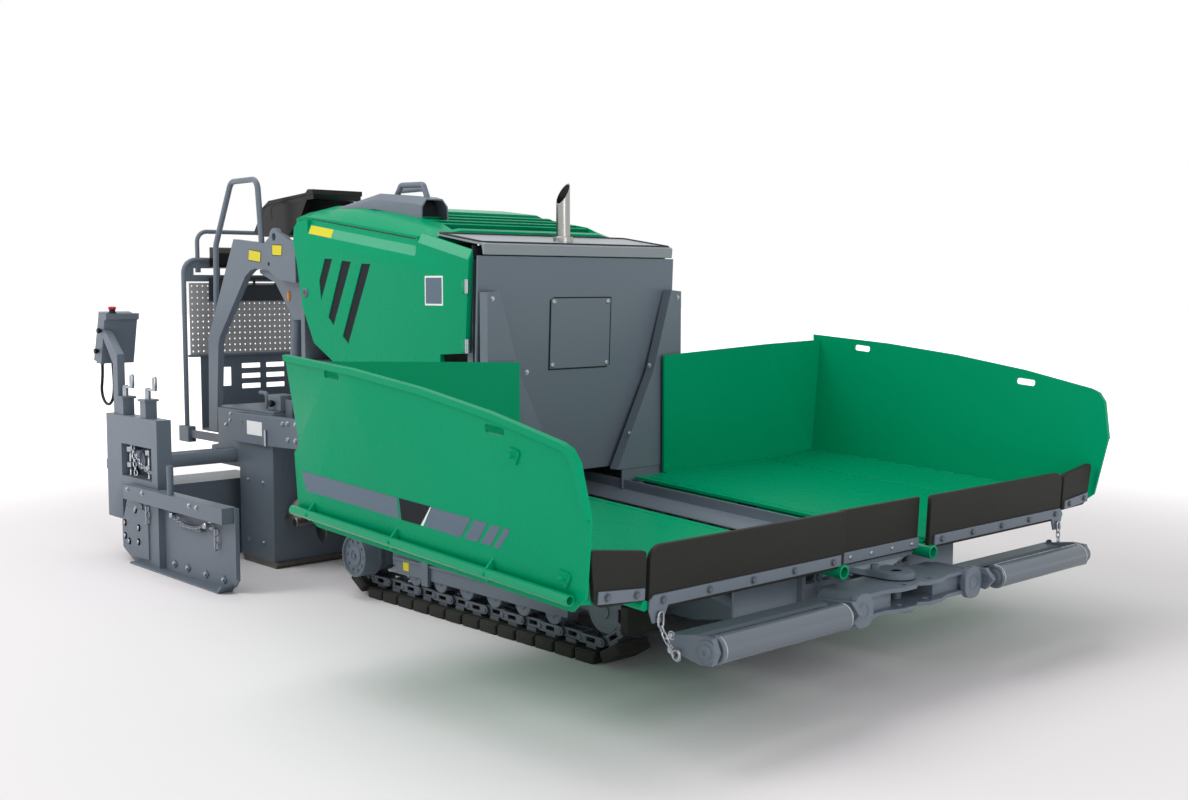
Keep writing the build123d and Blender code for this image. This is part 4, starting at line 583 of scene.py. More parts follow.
# %% [markdown]
# Three parts of the machine have their own slanted directions. The hopper's floor dips five in a hundred
# towards the front, its side walls lean 5.2 degrees outwards from the floor, and the engine's front panel
# leans back by 2.4 degrees.

# %% Slanted planes of hopper and panel
FLOOR_SLOPE = 0.05
FLOOR_PITCH = math.atan(FLOOR_SLOPE)
FLOOR_HEIGHT = 0.631
WALL_FOOT_Y = 1.497
WALL_LEAN = math.radians(5.2)
SHEET = 0.012
PANEL_LEAN = math.radians(2.4)
PANEL_FOOT = (0.53 - 0.973 * math.tan(PANEL_LEAN), 0.0, 0.64)


def on_floor(shape):
    return tilted(shape, (0.0, 0.0, FLOOR_HEIGHT), FLOOR_PITCH)


def on_panel(shape):
    return tilted(shape, PANEL_FOOT, PANEL_LEAN)


def on_wall(shape):
    """A shape of (along, out of the wall, up the wall) leans outwards and joins the floor's slope."""
    points, faces = shape
    along, out, rise = points.T
    c, s = math.cos(WALL_LEAN), math.sin(WALL_LEAN)
    return on_floor((np.stack([along, WALL_FOOT_Y + out * c + rise * s, rise * c - out * s], axis=1), faces))


def wall_spot(x, z):
    """Along and up the wall, for a point of its outer face at x and z."""
    dz = z - FLOOR_HEIGHT
    along = x * math.cos(FLOOR_PITCH) - dz * math.sin(FLOOR_PITCH)
    rise = x * math.sin(FLOOR_PITCH) + dz * math.cos(FLOOR_PITCH)
    return along, (rise + SHEET * math.sin(WALL_LEAN)) / math.cos(WALL_LEAN)


# %% [markdown]
# Each track is a closed loop of 32 cast links. A link has two side plates with a window each, a pin with a
# bushing at its front end and a foot, below which a rubber pad is bonded to its shoe. Plates of every second
# link lie further out, so that neighbours overlap at the pins.

# %% Tracks
PITCH = 0.124
PIN_HEIGHT = 0.084
SPROCKET_X = -0.346
STRAIGHT, WRAP = 13, 3
IDLER_X = SPROCKET_X + STRAIGHT * PITCH
WRAP_RADIUS = PITCH / (2 * math.sin(math.pi / (2 * WRAP)))
AXLE_HEIGHT = PIN_HEIGHT + WRAP_RADIUS
CHAIN_Y = 0.51
LINK_PLATE = 0.011
OUTER_LINK, INNER_LINK = 0.052, 0.038


def link_frames():
    """Middle, direction and inward direction of the links, in order round the loop."""
    run = SPROCKET_X + (np.arange(STRAIGHT) + 0.5) * PITCH
    turn = np.pi * (np.arange(WRAP) + 0.5) / WRAP
    chord = WRAP_RADIUS * math.cos(math.pi / (2 * WRAP))
    low = np.stack([run, np.full(STRAIGHT, PIN_HEIGHT), np.zeros(STRAIGHT)], axis=1)
    high = np.stack([run[::-1], np.full(STRAIGHT, 2 * AXLE_HEIGHT - PIN_HEIGHT), np.full(STRAIGHT, np.pi)],
                    axis=1)
    front = np.stack([IDLER_X + chord * np.sin(turn), AXLE_HEIGHT - chord * np.cos(turn), turn], axis=1)
    back = np.stack([SPROCKET_X - chord * np.sin(turn), AXLE_HEIGHT + chord * np.cos(turn), turn + np.pi],
                    axis=1)
    x, z, heading = np.concatenate([low, front, high, back]).T
    flat = np.zeros(len(x))
    return (np.stack([x, flat + CHAIN_Y, z], axis=1),
            np.stack([np.cos(heading), flat, np.sin(heading)], axis=1),
            np.stack([-np.sin(heading), flat, np.cos(heading)], axis=1))


def link(offset):
    """Two windowed plates, at offset from the middle, with pin, bushing and foot."""
    outline, window = oblong(0.081, 0.0195, 0.019, 7), oblong(0.026, 0.009, 0.003, 3)
    plates = [ringed(outline, window, (0, y, 0), X, Z, LINK_PLATE) for y in (offset, LINK_PLATE - offset)]
    joint = (PITCH / 2, 0, 0)
    pin = turned([(0, -0.056), (0.009, -0.056), (0.011, -0.053), (0.011, 0.053), (0.009, 0.056), (0, 0.056)],
                 joint, Y, 18)
    foot = slab((-0.03, -0.048, -0.0345), (0.03, 0.048, -0.0185))
    return join(*plates, pin, stub(0.0165, -0.03, 0.03, joint, Y, 18), foot)


def pad():
    """A rubber block with round corners on a flat shoe."""
    return join(plate(oblong(0.0565, 0.089, 0.01, 4), (0, 0, -0.0835), X, Y, 0.043),
                slab((-0.0595, -0.082, -0.052), (0.0595, 0.082, -0.034)))


places, headings, inwards = link_frames()
links = join(*[copies(link(offset), places[first::2], headings[first::2], inwards[first::2])
               for first, offset in enumerate((OUTER_LINK, INNER_LINK))])
pair("track_links", links, cast_steel, edge=0.0012, smooth=40, replaces=("{side}_track",))
pair("track_pads", copies(pad(), places, headings, inwards), pad_rubber, edge=0.005, smooth=40)
print("track links", len(places), "a side")

# %% [markdown]
# The undercarriage runs on flanged rollers turned from solid, between an idler in front and a sprocket at the
# back. The final drive's drum stands out beside the track, with a raised rim and a ring of bolts.

# %% Rollers, idler and drive drum
ROLLER_RADIUS, ROLLER_HALF, ROLLER_STEP = 0.0522, 0.048, 0.195
ROLLER_Z = PIN_HEIGHT + 0.02 + 0.0004 + 0.052          # pins, link plates, a gap and the roller's radius
DRUM_BOLTS, DRUM_CIRCLE = 10, 0.069


def roller(x):
    """Hub cap, flange and groove, then the same mirrored to the other end."""
    r, w = ROLLER_RADIUS, ROLLER_HALF
    half = np.array([(0, -w - 0.006), (0.02, -w - 0.006), (0.024, -w - 0.002), (0.024, -w), (r, -w),
                     (r, -w + 0.014), (r - 0.012, -w + 0.02)])
    return turned([*half, *half[::-1] * (1, -1)], (x, CHAIN_Y, ROLLER_Z), Y, 36)


running = [roller(ROLLER_STEP * k) for k in range(6)]
idler = turned([(0, -0.04), (0.03, -0.04), (0.034, -0.037), (0.066, -0.037), (0.07, -0.0365),
                (0.0872, -0.0365), (0.0872, 0.0365), (0.07, 0.0365), (0.066, 0.03), (0.034, 0.03),
                (0.03, 0.042), (0, 0.042)], (IDLER_X, CHAIN_Y, AXLE_HEIGHT), Y, 48)
drum = turned([(0, 0.575), (0.1006, 0.575), (0.1006, 0.59), (0.097, 0.593), (0.097, 0.648), (0.1006, 0.651),
               (0.1006, 0.669), (0.098, 0.672), (0.09, 0.672), (0.087, 0.6604), (0.05, 0.6604),
               (0.047, 0.666), (0.04, 0.668), (0.026, 0.668), (0.024, 0.664), (0.012, 0.664),
               (0.011, 0.671), (0, 0.671)],
              (SPROCKET_X, 0, AXLE_HEIGHT), Y, 64)
drum_bolts = heads(bolt(0.0065, 0.0055, 0.0085), 0.6606,
                   disc(DRUM_CIRCLE, DRUM_BOLTS) + (SPROCKET_X, AXLE_HEIGHT))
skirts = join(*[slab((-0.14, y, 0.15), (1.08, y + 0.006, 0.222)) for y in (0.4465, 0.5675)],
              slab((0.09, 0.5735, 0.124), (0.14, 0.59, 0.262)),
              slab((-0.15, 0.5735, 0.212), (1.09, 0.582, 0.222)))
pair("roller_skirts", skirts, grey_coat, slot="track_steel", edge=0.001)
pair("rollers", join(*running, idler), grey_coat, slot="track_steel")
pair("drive_drum", join(drum, drum_bolts), grey_coat)

# %% [markdown]
# Rubber flaps close the hopper at the front. Their free corners are round, and a steel strip clamps them with
# five hexagon bolts on the long flap and two on the short one. Four rivets hold the strip in the middle.

# %% Hopper flaps and their bolts
FLAP_X = 2.197
FLAP_THICK = 0.02
STRIP_X = FLAP_X + FLAP_THICK + 0.008
FLAPS = (([(0.262, -0.034), (1.235, -0.034), (1.237, 0.172), (0.262, 0.172)], (0.004, 0.022, 0.05, 0.018)),
         ([(1.25, 0.004), (1.462, 0.01), (1.487, 0.192), (1.252, 0.16)], (0.006, 0.045, 0.02, 0.016)))
flaps = join(*[plate(rounded(corners, radii, 8), (FLAP_X, 0, 0), Y, Z, FLAP_THICK)
               for corners, radii in FLAPS])
strip_bolts = [(STRIP_X, y, -0.002) for y in np.linspace(0.336, 1.183, 5)]
strip_bolts += [(STRIP_X, 1.298, 0.0305), (STRIP_X, 1.42, 0.0415)]
tab_eye = ringed(disc(0.016, 24), disc(0.0085, 24), (STRIP_X, 1.199, -0.05), Y, Z, 0.0016, 24)
flap_fittings = join(copies(bolt(0.0105, 0.007, 0.0145), strip_bolts, Z, X), tab_eye)
pair("rubber_flaps", on_floor(flaps), flap_rubber, "{side}_wing", edge=0.004, smooth=40,
     replaces=("{side}_wing_flaps",))
pair("flap_bolts", on_floor(flap_fittings), cast_steel, "{side}_wing")
rivets = [(2.189, y, -0.011) for y in (-0.19, -0.064, 0.064, 0.19)]
piece("centre_flap_rivets", on_floor(copies(screw(0.008, 0.004), rivets, Z, X)), zinc)

# %% [markdown]
# A short chain hangs from the tab at the end of each strip, with a snap link in the tab's hole. It keeps the
# wing from swinging on the road.

# %% Flap chains
hook = on_floor((np.array([(STRIP_X + 0.01, 1.199, -0.06)]), []))[0][0]
snap_loop = oblong(0.011, 0.024, 0.0105, 7)
snap = carried(disc(0.0034, 10), hook + snap_loop[:, :1] * Y + snap_loop[:, 1:] * Z, up=X, closed=True)
sleeve = stub(0.0058, 0, 0.016, hook + (0, 0.011, -0.008), Z, 6)
hanging = chain(hook - (0, 0, 0.022), (2.25, 1.168, 0.366), 0.01)
pair("flap_chain", join(snap, sleeve, hanging), zinc, "{side}_wing", smooth=40)

# %% [markdown]
# The push rollers are steel tubes turned smooth, with a bright ring at each end. They roll on the truck's
# tyres while it is pushed.

# %% Push rollers
AXLE_X, AXLE_Z = 2.37, 0.375
TUBE = (AXLE_X, 0.0, AXLE_Z)
roller_tube = turned([(0, 0.406), (0.0158, 0.406), (0.0158, 0.452), (0.03, 0.452), (0.03, 0.466),
                      (0.041, 0.466), (0.0456, 0.471), (0.0456, 1.107), (0.041, 1.112), (0.0158, 1.112),
                      (0.0158, 1.14), (0, 1.14)], TUBE, Y, 64)
rings = join(*[turned([(0.045, y), (0.0465, y + 0.001), (0.0465, y + 0.005), (0.045, y + 0.006)], TUBE, Y, 64)
               for y in (0.473, 1.096)])
pair("roller_tube", roller_tube, roller_coat, "{side}_push_roller", replaces=("{side}_push_roller",))
pair("roller_rings", rings, zinc, "{side}_push_roller")

# %% [markdown]
# The push beam swings on one upright pin. Its end plates carry the rollers' axles in round bosses of three
# steps, and round covers close the housings between the rollers and the yoke.

# %% Bosses, covers and bolts of the push beam
END_PLATE_Y = 1.142
TONGUE_X, TONGUE_TOP = 2.25, 0.4445
boss = turned([(0, 0), (0.036, 0), (0.036, 0.004), (0.031, 0.006), (0.023, 0.006), (0.023, 0.011),
               (0.015, 0.013), (0.009, 0.013), (0.008, 0.01),
               (0, 0.01)], (AXLE_X, END_PLATE_Y, AXLE_Z), Y, 40)
face = plate(rounded([(-0.056, -0.06), (0.05, -0.06), (0.054, 0.06), (-0.056, 0.06)], 0.046, 9),
             (2.338, 0.342, 0.37), Y, Z, 0.022)
face_ring = turned([(0.0245, 0), (0.0285, 0), (0.028, 0.0022), (0.025, 0.0022), (0.0245, 0)],
                   (2.3595, 0.342, 0.37), X, 40)
housing = stub(0.0484, 0, 0.154, (2.19, 0.34, AXLE_Z), X, 40)
eye_loop = disc(0.015, 24)
eye = carried(disc(0.0048, 10), (2.252, 1.155, 0.345) + eye_loop[:, :1] * X + eye_loop[:, 1:] * Z, up=Y,
              closed=True)
eye_bolt = stub(0.008, 0, 0.01, (2.252, END_PLATE_Y, 0.33), Y, 16)
beam_bolts = copies(bolt(0.011, 0.008, 0.015), [(2.22, END_PLATE_Y, z) for z in (0.398, 0.352)], Z, Y)
pin_rim = turned([(0.02, 0.0005), (0.024, 0.0005), (0.024, 0.003), (0.02, 0.003), (0.02, 0.0005)],
                 (TONGUE_X, 0, TONGUE_TOP), Z, 36)
NOSE_PIVOT = (2.081, 0.245, 0.432)
pivot = join(turned([(0.016, 0), (0.024, 0), (0.024, 0.006), (0.016, 0.006), (0.016, 0)], NOSE_PIVOT, X, 32),
             copies(bolt(0.012, 0.012, 0.015), NOSE_PIVOT, Y, X))
pair("beam_covers", join(boss, face, face_ring, housing), grey_coat, "push_beam")
pair("beam_bolts", join(beam_bolts, eye, eye_bolt), zinc, "push_beam")
pair("nose_pivot", pivot, grey_coat)
pair("cross_plate", slab((2.046, 0.331, 0.3), (2.058, 0.67, 0.48)), grey_coat, edge=0.002)
piece("tongue_pin_rim", pin_rim, grey_coat)
# A black disc inside the rim on the tongue: painted shade standing for the pin's bore.
piece("tongue_bore_painted_shade", stub(0.0195, 0, 0.0012, (TONGUE_X, 0, TONGUE_TOP + 0.0003), Z, 36), black_gauze_and_shade)
piece("tongue_bolt", copies(bolt(0.017, 0.014, 0.022), (2.172, -0.022, TONGUE_TOP + 0.0003), X, Z), grey_coat)

# %% [markdown]
# The wings are welded from sheet. Stitched weld beads run along both bends of the floor, a tube stiffens the
# outer edge, and two round knobs stand on the side wall for the chains. A band of slate film crosses the
# wall, ending in slanted bars.

# %% Hopper wings
def bead(start, end, radius=0.0042, stitch=0.075, gap=0.035, scale=0.009):
    """Stitches of weld: radius * (0.82 + 0.18 * |sin|) rises and falls once in every scale of the bead."""
    start, end = np.asarray(start, float), np.asarray(end, float)
    parts = []
    for first in np.arange(0.02, np.linalg.norm(end - start) - stitch, stitch + gap):
        at = np.linspace(first, first + stitch, 34)
        swell = radius * (0.82 + 0.18 * np.abs(np.sin(np.pi * at / scale)))
        rows = [(0, at[0] - 0.001), *np.stack([swell, at], axis=1), (0, at[-1] + 0.001)]
        parts.append(turned(rows, start, end - start, 8))
    return join(*parts)


def wall_film(corners):
    """A film on the wall's outer face, from its (x, z) corners."""
    spots = [wall_spot(x, z) for x, z in corners]
    return on_wall(film([(along, SHEET, rise) for along, rise in spots]))


def knob(x, z):
    """A ball on a short cone over a three-cornered gusset."""
    along, rise = wall_spot(x, z)
    stem = turned([(0, 0), (0.016, 0), (0.01, 0.008), (0.008, 0.012), (0, 0.012)], (along, SHEET, rise),
                  Y, 20)
    gusset = plate(rounded([(-0.03, 0.022), (0.034, 0.014), (0.006, -0.04)], 0.008, 4),
                   (along, SHEET + 0.006, rise), X, Z, 0.006)
    return on_wall(join(stem, gusset, ball(0.0092, (along, SHEET + 0.0155, rise))))


outer_pipe = turned([(0, 0), (0.0178, 0), (0.0178, 1.584), (0.0135, 1.584), (0.0135, 1.48), (0, 1.48)],
                    (0.604, 1.536, 0.042), X, 28)
mouth = turned([(0, 0), (0.027, 0), (0.027, 0.105), (0.0185, 0.105), (0.0185, 0.03), (0, 0.03)],
               (2.125, 0.275, -0.045), X, 28)
beads = join(bead((0.66, 1.19, 0.001), (2.17, 1.19, 0.001)), bead((0.66, 1.494, 0.036), (2.17, 1.494, 0.036)),
             bead((0.66, 0.292, 0.0005), (2.13, 0.292, 0.0005), 0.003))
BAND = [(0.659, 0.795), (1.288, 0.765), (1.287, 0.691), (0.68, 0.721)]
BLOCK = [(1.298, 0.765), (1.481, 0.758), (1.416, 0.686), (1.302, 0.69)]
BARS = [[(1.484, 0.756), (1.703, 0.747), (1.636, 0.674), (1.438, 0.686)],
        [(1.721, 0.745), (1.786, 0.742), (1.726, 0.672), (1.656, 0.674)],
        [(1.807, 0.739), (1.854, 0.739), (1.794, 0.67), (1.742, 0.672)],
        [(1.871, 0.737), (1.902, 0.736), (1.835, 0.666), (1.81, 0.667)]]
SLASH = [(1.466, 0.757), (1.484, 0.756), (1.43, 0.686), (1.412, 0.686)]
KNOBS = ((1.947, 0.976), (2.144, 0.626))
pair("wing_pipe", on_floor(join(outer_pipe, mouth)), gloss_green, "{side}_wing")
pair("weld_beads", on_floor(beads), green_coat, "{side}_wing", smooth=60)
pair("wing_band", join(*map(wall_film, (BAND, *BARS))), slate_film, "{side}_wing")
pair("wing_block", wall_film(BLOCK), black_gauze_and_shade, "{side}_wing")
pair("wing_slash", wall_film(SLASH), white_film, "{side}_wing")
pair("wing_knobs", join(*[knob(x, z) for x, z in KNOBS]), green_coat, "{side}_wing")

# %% [markdown]
# The hydraulic cylinders are honed tubes with a screwed gland, and their rods are chromed.

# %% Cylinders
def ram(base, eye, barrel_length, barrel_radius, rod_radius, rod_inside, pin_axis, eye_half, ring):
    """Barrel cover with its gland, and the rod with the eye that its pin goes through."""
    base, eye = np.asarray(base, float), np.asarray(eye, float)
    reach, end = np.linalg.norm(eye - base), barrel_length
    r = barrel_radius + 0.0003
    barrel = turned([(0, 0.012), (r - 0.003, 0.012), (r, 0.016), (r, end - 0.026), (r + 0.003, end - 0.024),
                     (r + 0.003, end - 0.004), (r, end + 0.0005), (0, end + 0.0005)], base, eye - base, 36)
    shaft = stub(rod_radius, end - rod_inside, reach - ring * 0.7, base, eye - base, 28)
    return barrel, join(shaft, stub(ring, -eye_half, eye_half, eye, pin_axis, 28))


FOLD_X = 1.85
fold_eye = np.array((FOLD_X, 0.75, FLOOR_HEIGHT - FLOOR_SLOPE * FOLD_X - 0.046))
fold_base = (FOLD_X - (fold_eye[2] - 0.3) * FLOOR_SLOPE, 0.372, 0.3)
fold_axis = (math.cos(FLOOR_PITCH), 0, -math.sin(FLOOR_PITCH))
RAMS = (("lift", ram((-1.12, 0.488, 1.44), (-1.19, 0.488, 0.868), 0.4, 0.03, 0.011, 0.2, Y, 0.012, 0.019)),
        ("wing", ram(fold_base, fold_eye, 0.262, 0.027, 0.014, 0.17, fold_axis, 0.022, 0.02)))
for name, (barrel, rod) in RAMS:
    pair(f"{name}_barrel", barrel, grey_coat, f"{{side}}_{name}_cylinder")
    pair(f"{name}_rod", rod, chrome, f"{{side}}_{name}_cylinder_rod",
         replaces=(f"{{side}}_{name}_cylinder_rod",))

# %% [markdown]
# The augers spread the asphalt in front of the screed. Each is a screw flight of two and a half turns on a
# shaft, its edge worn bright. The surface is a helix: height along the shaft grows with the angle.

# %% Augers
AUGER_X, AUGER_Z, AUGER_PITCH = -1.075, 0.262, 0.19


def flight():
    """Rows every ten degrees along the helix, each a narrow box from the shaft to the rim."""
    angle = np.radians(np.arange(0, 901, 10))[:, None]
    radius, y = np.array([(0.021, 0.065), (0.115, 0.0665), (0.1218, 0.069), (0.1218, 0.073), (0.115, 0.0755),
                          (0.021, 0.077)]).T
    points = np.stack([AUGER_X + radius * np.cos(angle), y + AUGER_PITCH * angle / (2 * math.pi),
                       AUGER_Z + radius * np.sin(angle)], axis=2)
    ends = [np.broadcast_to(row.mean(axis=0), row.shape)[None] for row in (points[0], points[-1])]
    return grid(np.concatenate([ends[0], points, ends[1]]), wrap_columns=True)


shaft = turned([(0, 0.045), (0.0238, 0.045), (0.0238, 0.558), (0.02, 0.562), (0, 0.562)],
               (AUGER_X, 0, AUGER_Z), Y, 32)
pair("auger_flight", join(shaft, flight()), worn_steel, "{side}_auger", smooth=40, replaces=("{side}_auger",))

# %% [markdown]
# Panels of the engine housing. The front cover lies in a dark gasket under four button screws. Each side door
# has three slanted vents backed with black gauze, a round lock, two hinge barrels, a painted highlight along
# a crease below the vents, and two chamfers along its top painted pale green as painted reflection. On the
# right door there are a framed plate and a yellow sign, both blank.

# %% Front panel and doors
GASKET, COVER = [[(-half, low), (half, low), (half, high), (-half, high)]
                 for half, low, high in ((0.185, 0.47, 0.795), (0.179, 0.476, 0.789))]
piece("cover_gasket", on_panel(ringed(GASKET, COVER, (0, 0, 0), Y, Z, 0.005, 40)), sheath_rubber)
cover_corners = [(0.006, y, z) for y in (-0.164, 0.164) for z in (0.491, 0.774)]
piece("cover_screws", on_panel(copies(screw(0.012, 0.005), cover_corners, Z, X)), zinc, slot="grey_paint")
DEFLECTOR_SPOTS = ((0.373, 1.112), (0.245, 0.801), (0.56, 1.43))
deflector_bolts = [(0.586, sign * y, z) for sign in (1, -1) for y, z in DEFLECTOR_SPOTS]
piece("deflector_bolts", copies(bolt(0.008, 0.006, 0.011), deflector_bolts, Z, X), zinc)

DOOR_Y = 0.6
VENTS = ([(-0.679, 1.615), (-0.609, 1.614), (-0.717, 1.411), (-0.732, 1.509)],
         [(-0.524, 1.604), (-0.443, 1.598), (-0.605, 1.293), (-0.653, 1.332)],
         [(-0.353, 1.588), (-0.277, 1.585), (-0.476, 1.207), (-0.526, 1.242)])
# Outline, as (x, z), of the painted highlight along the door's crease.
CREASE_HIGHLIGHT = [(-0.7, 1.28), (-0.6, 1.222), (-0.527, 1.201), (-0.64, 1.262), (-0.735, 1.318), (-0.768, 1.325)]
LOCK_X, LOCK_Z = -0.862, 1.449
# Rear and front end of a chamfer's foot as (x, z), how far it leans in, and how far it rises.
FACETS = (((-0.832, 1.7397), (0.084, 1.6148), 0.018, 0.046), ((0.104, 1.6753), (0.47, 1.5941), 0.024, 0.044))


def facet_point(facet, along, up):
    """A point of a chamfer: along from rear to front and up from foot to top, both 0 to 1."""
    (x0, z0), (x1, z1), inset, height = facet
    return (x0 + along * (x1 - x0), DOOR_Y - up * inset, z0 + along * (z1 - z0) + up * height)


def facet_film(facet, first, last, low, high, lift):
    """A film over a part of a chamfer, between two shares of its length and two of its height."""
    loop = ((last, low), (first, low), (first, high), (last, high))
    return film([facet_point(facet, along, up) for along, up in loop], lift)


gauze = join(*[plate(vent[::-1], (0, DOOR_Y - 0.0078, 0), X, Z, -0.003) for vent in VENTS])
# The pale films on both chamfers are painted reflection of light off their upward faces.
chamfer_painted_sheen = join(*[facet_film(facet, 0.002, 0.998, 0.02, 0.98, 0.0004) for facet in FACETS])
rose = turned([(0, 0), (0.024, 0), (0.024, 0.003), (0.02, 0.006), (0.012, 0.006), (0.011, 0.003), (0, 0.003)],
              (LOCK_X, DOOR_Y, LOCK_Z), Y, 32)
key_slot = slab((LOCK_X - 0.002, DOOR_Y + 0.002, LOCK_Z - 0.008),
                (LOCK_X + 0.002, DOOR_Y + 0.0045, LOCK_Z + 0.008))
hinge_barrels = join(*[stub(0.0094, 0, 0.06, (0.47, 0.606, z), Z, 20) for z in (1.452, 1.197)])
pair("vent_gauze", gauze, black_gauze_and_shade, "{side}_side_door")
pair("door_painted_sheen", chamfer_painted_sheen, painted_sheen_green, "{side}_side_door")
pair("door_lock", join(rose, key_slot), cast_steel, "{side}_side_door")
# A pale strip along the crease: a painted highlight.
pair("door_crease_painted_highlight", film([(x, DOOR_Y, z) for x, z in CREASE_HIGHLIGHT]), painted_sheen_green, "{side}_side_door", smooth=40)
pair("door_hinges", hinge_barrels, zinc, "{side}_side_door")


def right_film(corners, y, lift=0.0005):
    """A film on a plane that faces right, from its (x, z) corners in either order."""
    spots = np.array([(x, -y, z) for x, z in corners])
    outwards = np.cross(spots[1] - spots[0], spots[2] - spots[1])[1] < 0
    return film(spots if outwards else spots[::-1], lift)


def grown(corners, by):
    """Corners moved away from their middle."""
    corners = np.asarray(corners, float)
    return corners + by * np.sign(corners - corners.mean(axis=0))


UPPER_FILM = 0.0013          # lift of a film that lies on another one
PLATE = [(0.157, 1.528), (0.291, 1.528), (0.291, 1.398), (0.157, 1.398)]
piece("door_plate_frame", right_film(PLATE, DOOR_Y), white_film, "right_side_door")
piece("door_plate_field", right_film(grown(PLATE, -0.008), DOOR_Y, UPPER_FILM), slate_film, "right_side_door")
piece("door_sign", mirrored(facet_film(FACETS[0], 0.012, 0.235, 0.06, 0.94, UPPER_FILM)), yellow_film,
      "right_side_door", "green_paint")

# %% [markdown]
# The lid over the radiator is a lighter grey, partly its own colour and partly painted sheen, with a black
# rubber bead round its top and a black slab below its front as painted shade in the gap there. Behind it the
# roof's grille has black gauze below its fins, and the exhaust's mouth is cut at a slant. Small sheets close
# the gaps below the deflectors and beside the hopper's floor.

# %% Lid, grille and exhaust
EXHAUST_X = 0.4
CUT_HEIGHT, CUT_SLOPE = 1.902, 1.55
# The lid's lighter grey is partly painted sheen.
dress("lid", lid_grey_and_painted_sheen, 0.003)
bead_loop = rounded([(0.211, -0.563), (0.53, -0.563), (0.53, 0.563), (0.211, 0.563)], 0.018, 6)
bead_path = np.column_stack([bead_loop, 1.6685 + (0.534 - bead_loop[:, 0]) * 0.048 / 0.329])
piece("lid_bead", carried(disc(0.0055, 10), bead_path, closed=True), sheath_rubber, smooth=40)
# A black slab in the gap below the lid's front: painted shade, not a part.
piece("lid_gap_painted_shade", slab((0.466, -0.575, 1.6), (0.476, 0.575, 1.656)), black_gauze_and_shade, slot="grey_paint")
grille_back = tilted(slab((0.004, -0.452, 0.0005), (0.452, 0.452, 0.003)), (-0.29, 0, 1.812),
                     math.atan2(0.091, 0.43))
piece("grille_gauze", grille_back, black_gauze_and_shade)
pair("deflector_foot", slab((0.572, 0.205, 0.545), (0.58, 0.472, 0.665)), grey_coat, edge=0.001)
pair("hopper_skirt", on_floor(slab((0.604, 0.322, -0.12), (2.03, 0.328, -0.023))), dark_coat)
seal = carried(disc(0.01, 10), [(-0.83, 0.566, 1.806), (-0.56, 0.566, 1.772), (0.086, 0.566, 1.686)])
pair("hood_seal", seal, sheath_rubber, smooth=40)
SCOOP = [(-0.452, 1.77), (-0.446, 1.846), (-0.42, 1.876), (-0.336, 1.876), (-0.31, 1.846), (-0.306, 1.77)]
piece("scoop_gauze", plate(SCOOP, (-0.15, 0, 0), Y, Z, 0.004), black_gauze_and_shade)


def slanted_pipe(foot, top, radius, wall):
    """A stack: every point of its rim is as high as the slanted cut allows,
    z = CUT_HEIGHT + CUT_SLOPE * y."""
    rows = []
    for r, at_top in ((radius, 0), (radius, 1), (radius - wall, 1), (radius - wall, 0)):
        x, y = disc(r, 40).T
        rim = np.minimum(top, CUT_HEIGHT + CUT_SLOPE * y)
        rows.append(np.stack([EXHAUST_X + x, y, rim if at_top else np.full(40, foot)], axis=1))
    return grid(np.stack(rows), wrap_rows=True, wrap_columns=True)


collar = turned([(0.03, 1.64), (0.046, 1.64), (0.046, 1.704), (0.044, 1.707), (0.03, 1.707)],
                (EXHAUST_X, 0, 0), Z, 40)
piece("exhaust_stack", join(slanted_pipe(1.645, 1.96, 0.032, 0.003), collar), stainless,
      replaces=("exhaust",))
soot = join(slanted_pipe(1.72, 1.958, 0.0288, 0.0006), stub(0.028, 0, 0.002, (EXHAUST_X, 0, 1.72), Z, 40))
piece("exhaust_soot", soot, sheath_rubber, slot="stainless_steel")

# %% [markdown]
# Arches carry the screed. On the right arch two yellow signs are blank. An amber lens looks forward below it.

# %% Signs and lens on the right arch
SIGNS = (([(-1.493, 1.674), (-1.371, 1.66), (-1.377, 1.61), (-1.502, 1.622)], 0.563),
         ([(-1.211, 1.693), (-1.116, 1.689), (-1.121, 1.639), (-1.211, 1.643)], 0.583))
TAG = [(-0.075, 0.208), (-0.03, 0.208), (-0.03, 0.168), (-0.075, 0.168)]
piece("arch_sign_borders", join(*[right_film(grown(corners, 0.003), y) for corners, y in SIGNS]), black_gauze_and_shade)
piece("arch_signs", join(*[right_film(corners, y, 0.0012) for corners, y in SIGNS]), yellow_film)
piece("arch_hole", stub(0.01, 0, 0.0012, (-1.254, -0.583, 1.597), -Y, 24), sheath_rubber,
      slot="black_plastic")
lens_points, lens_faces = ball(0.012, ORIGIN)
piece("amber_lens", (lens_points * (1.0, 0.8, 2.3) + (-1.148, -0.53, 1.431), lens_faces), amber_lens,
      smooth=40)
window = plate([(-1.452, 1.834), (-1.163, 1.84), (-1.103, 1.92), (-1.4, 1.914), (-1.452, 1.9)],
               (0, -0.4505, 0), X, Z, 0.003)
piece("console_window", window, black_plastic)
piece("track_frame_tag", right_film(TAG, 0.5737), yellow_film)

# %% [markdown]
# Guard and hand rails are bent from round tube. The guard's low hoop stands in clamps behind the screed, and
# between its posts there are a slotted slat and a perforated sheet.

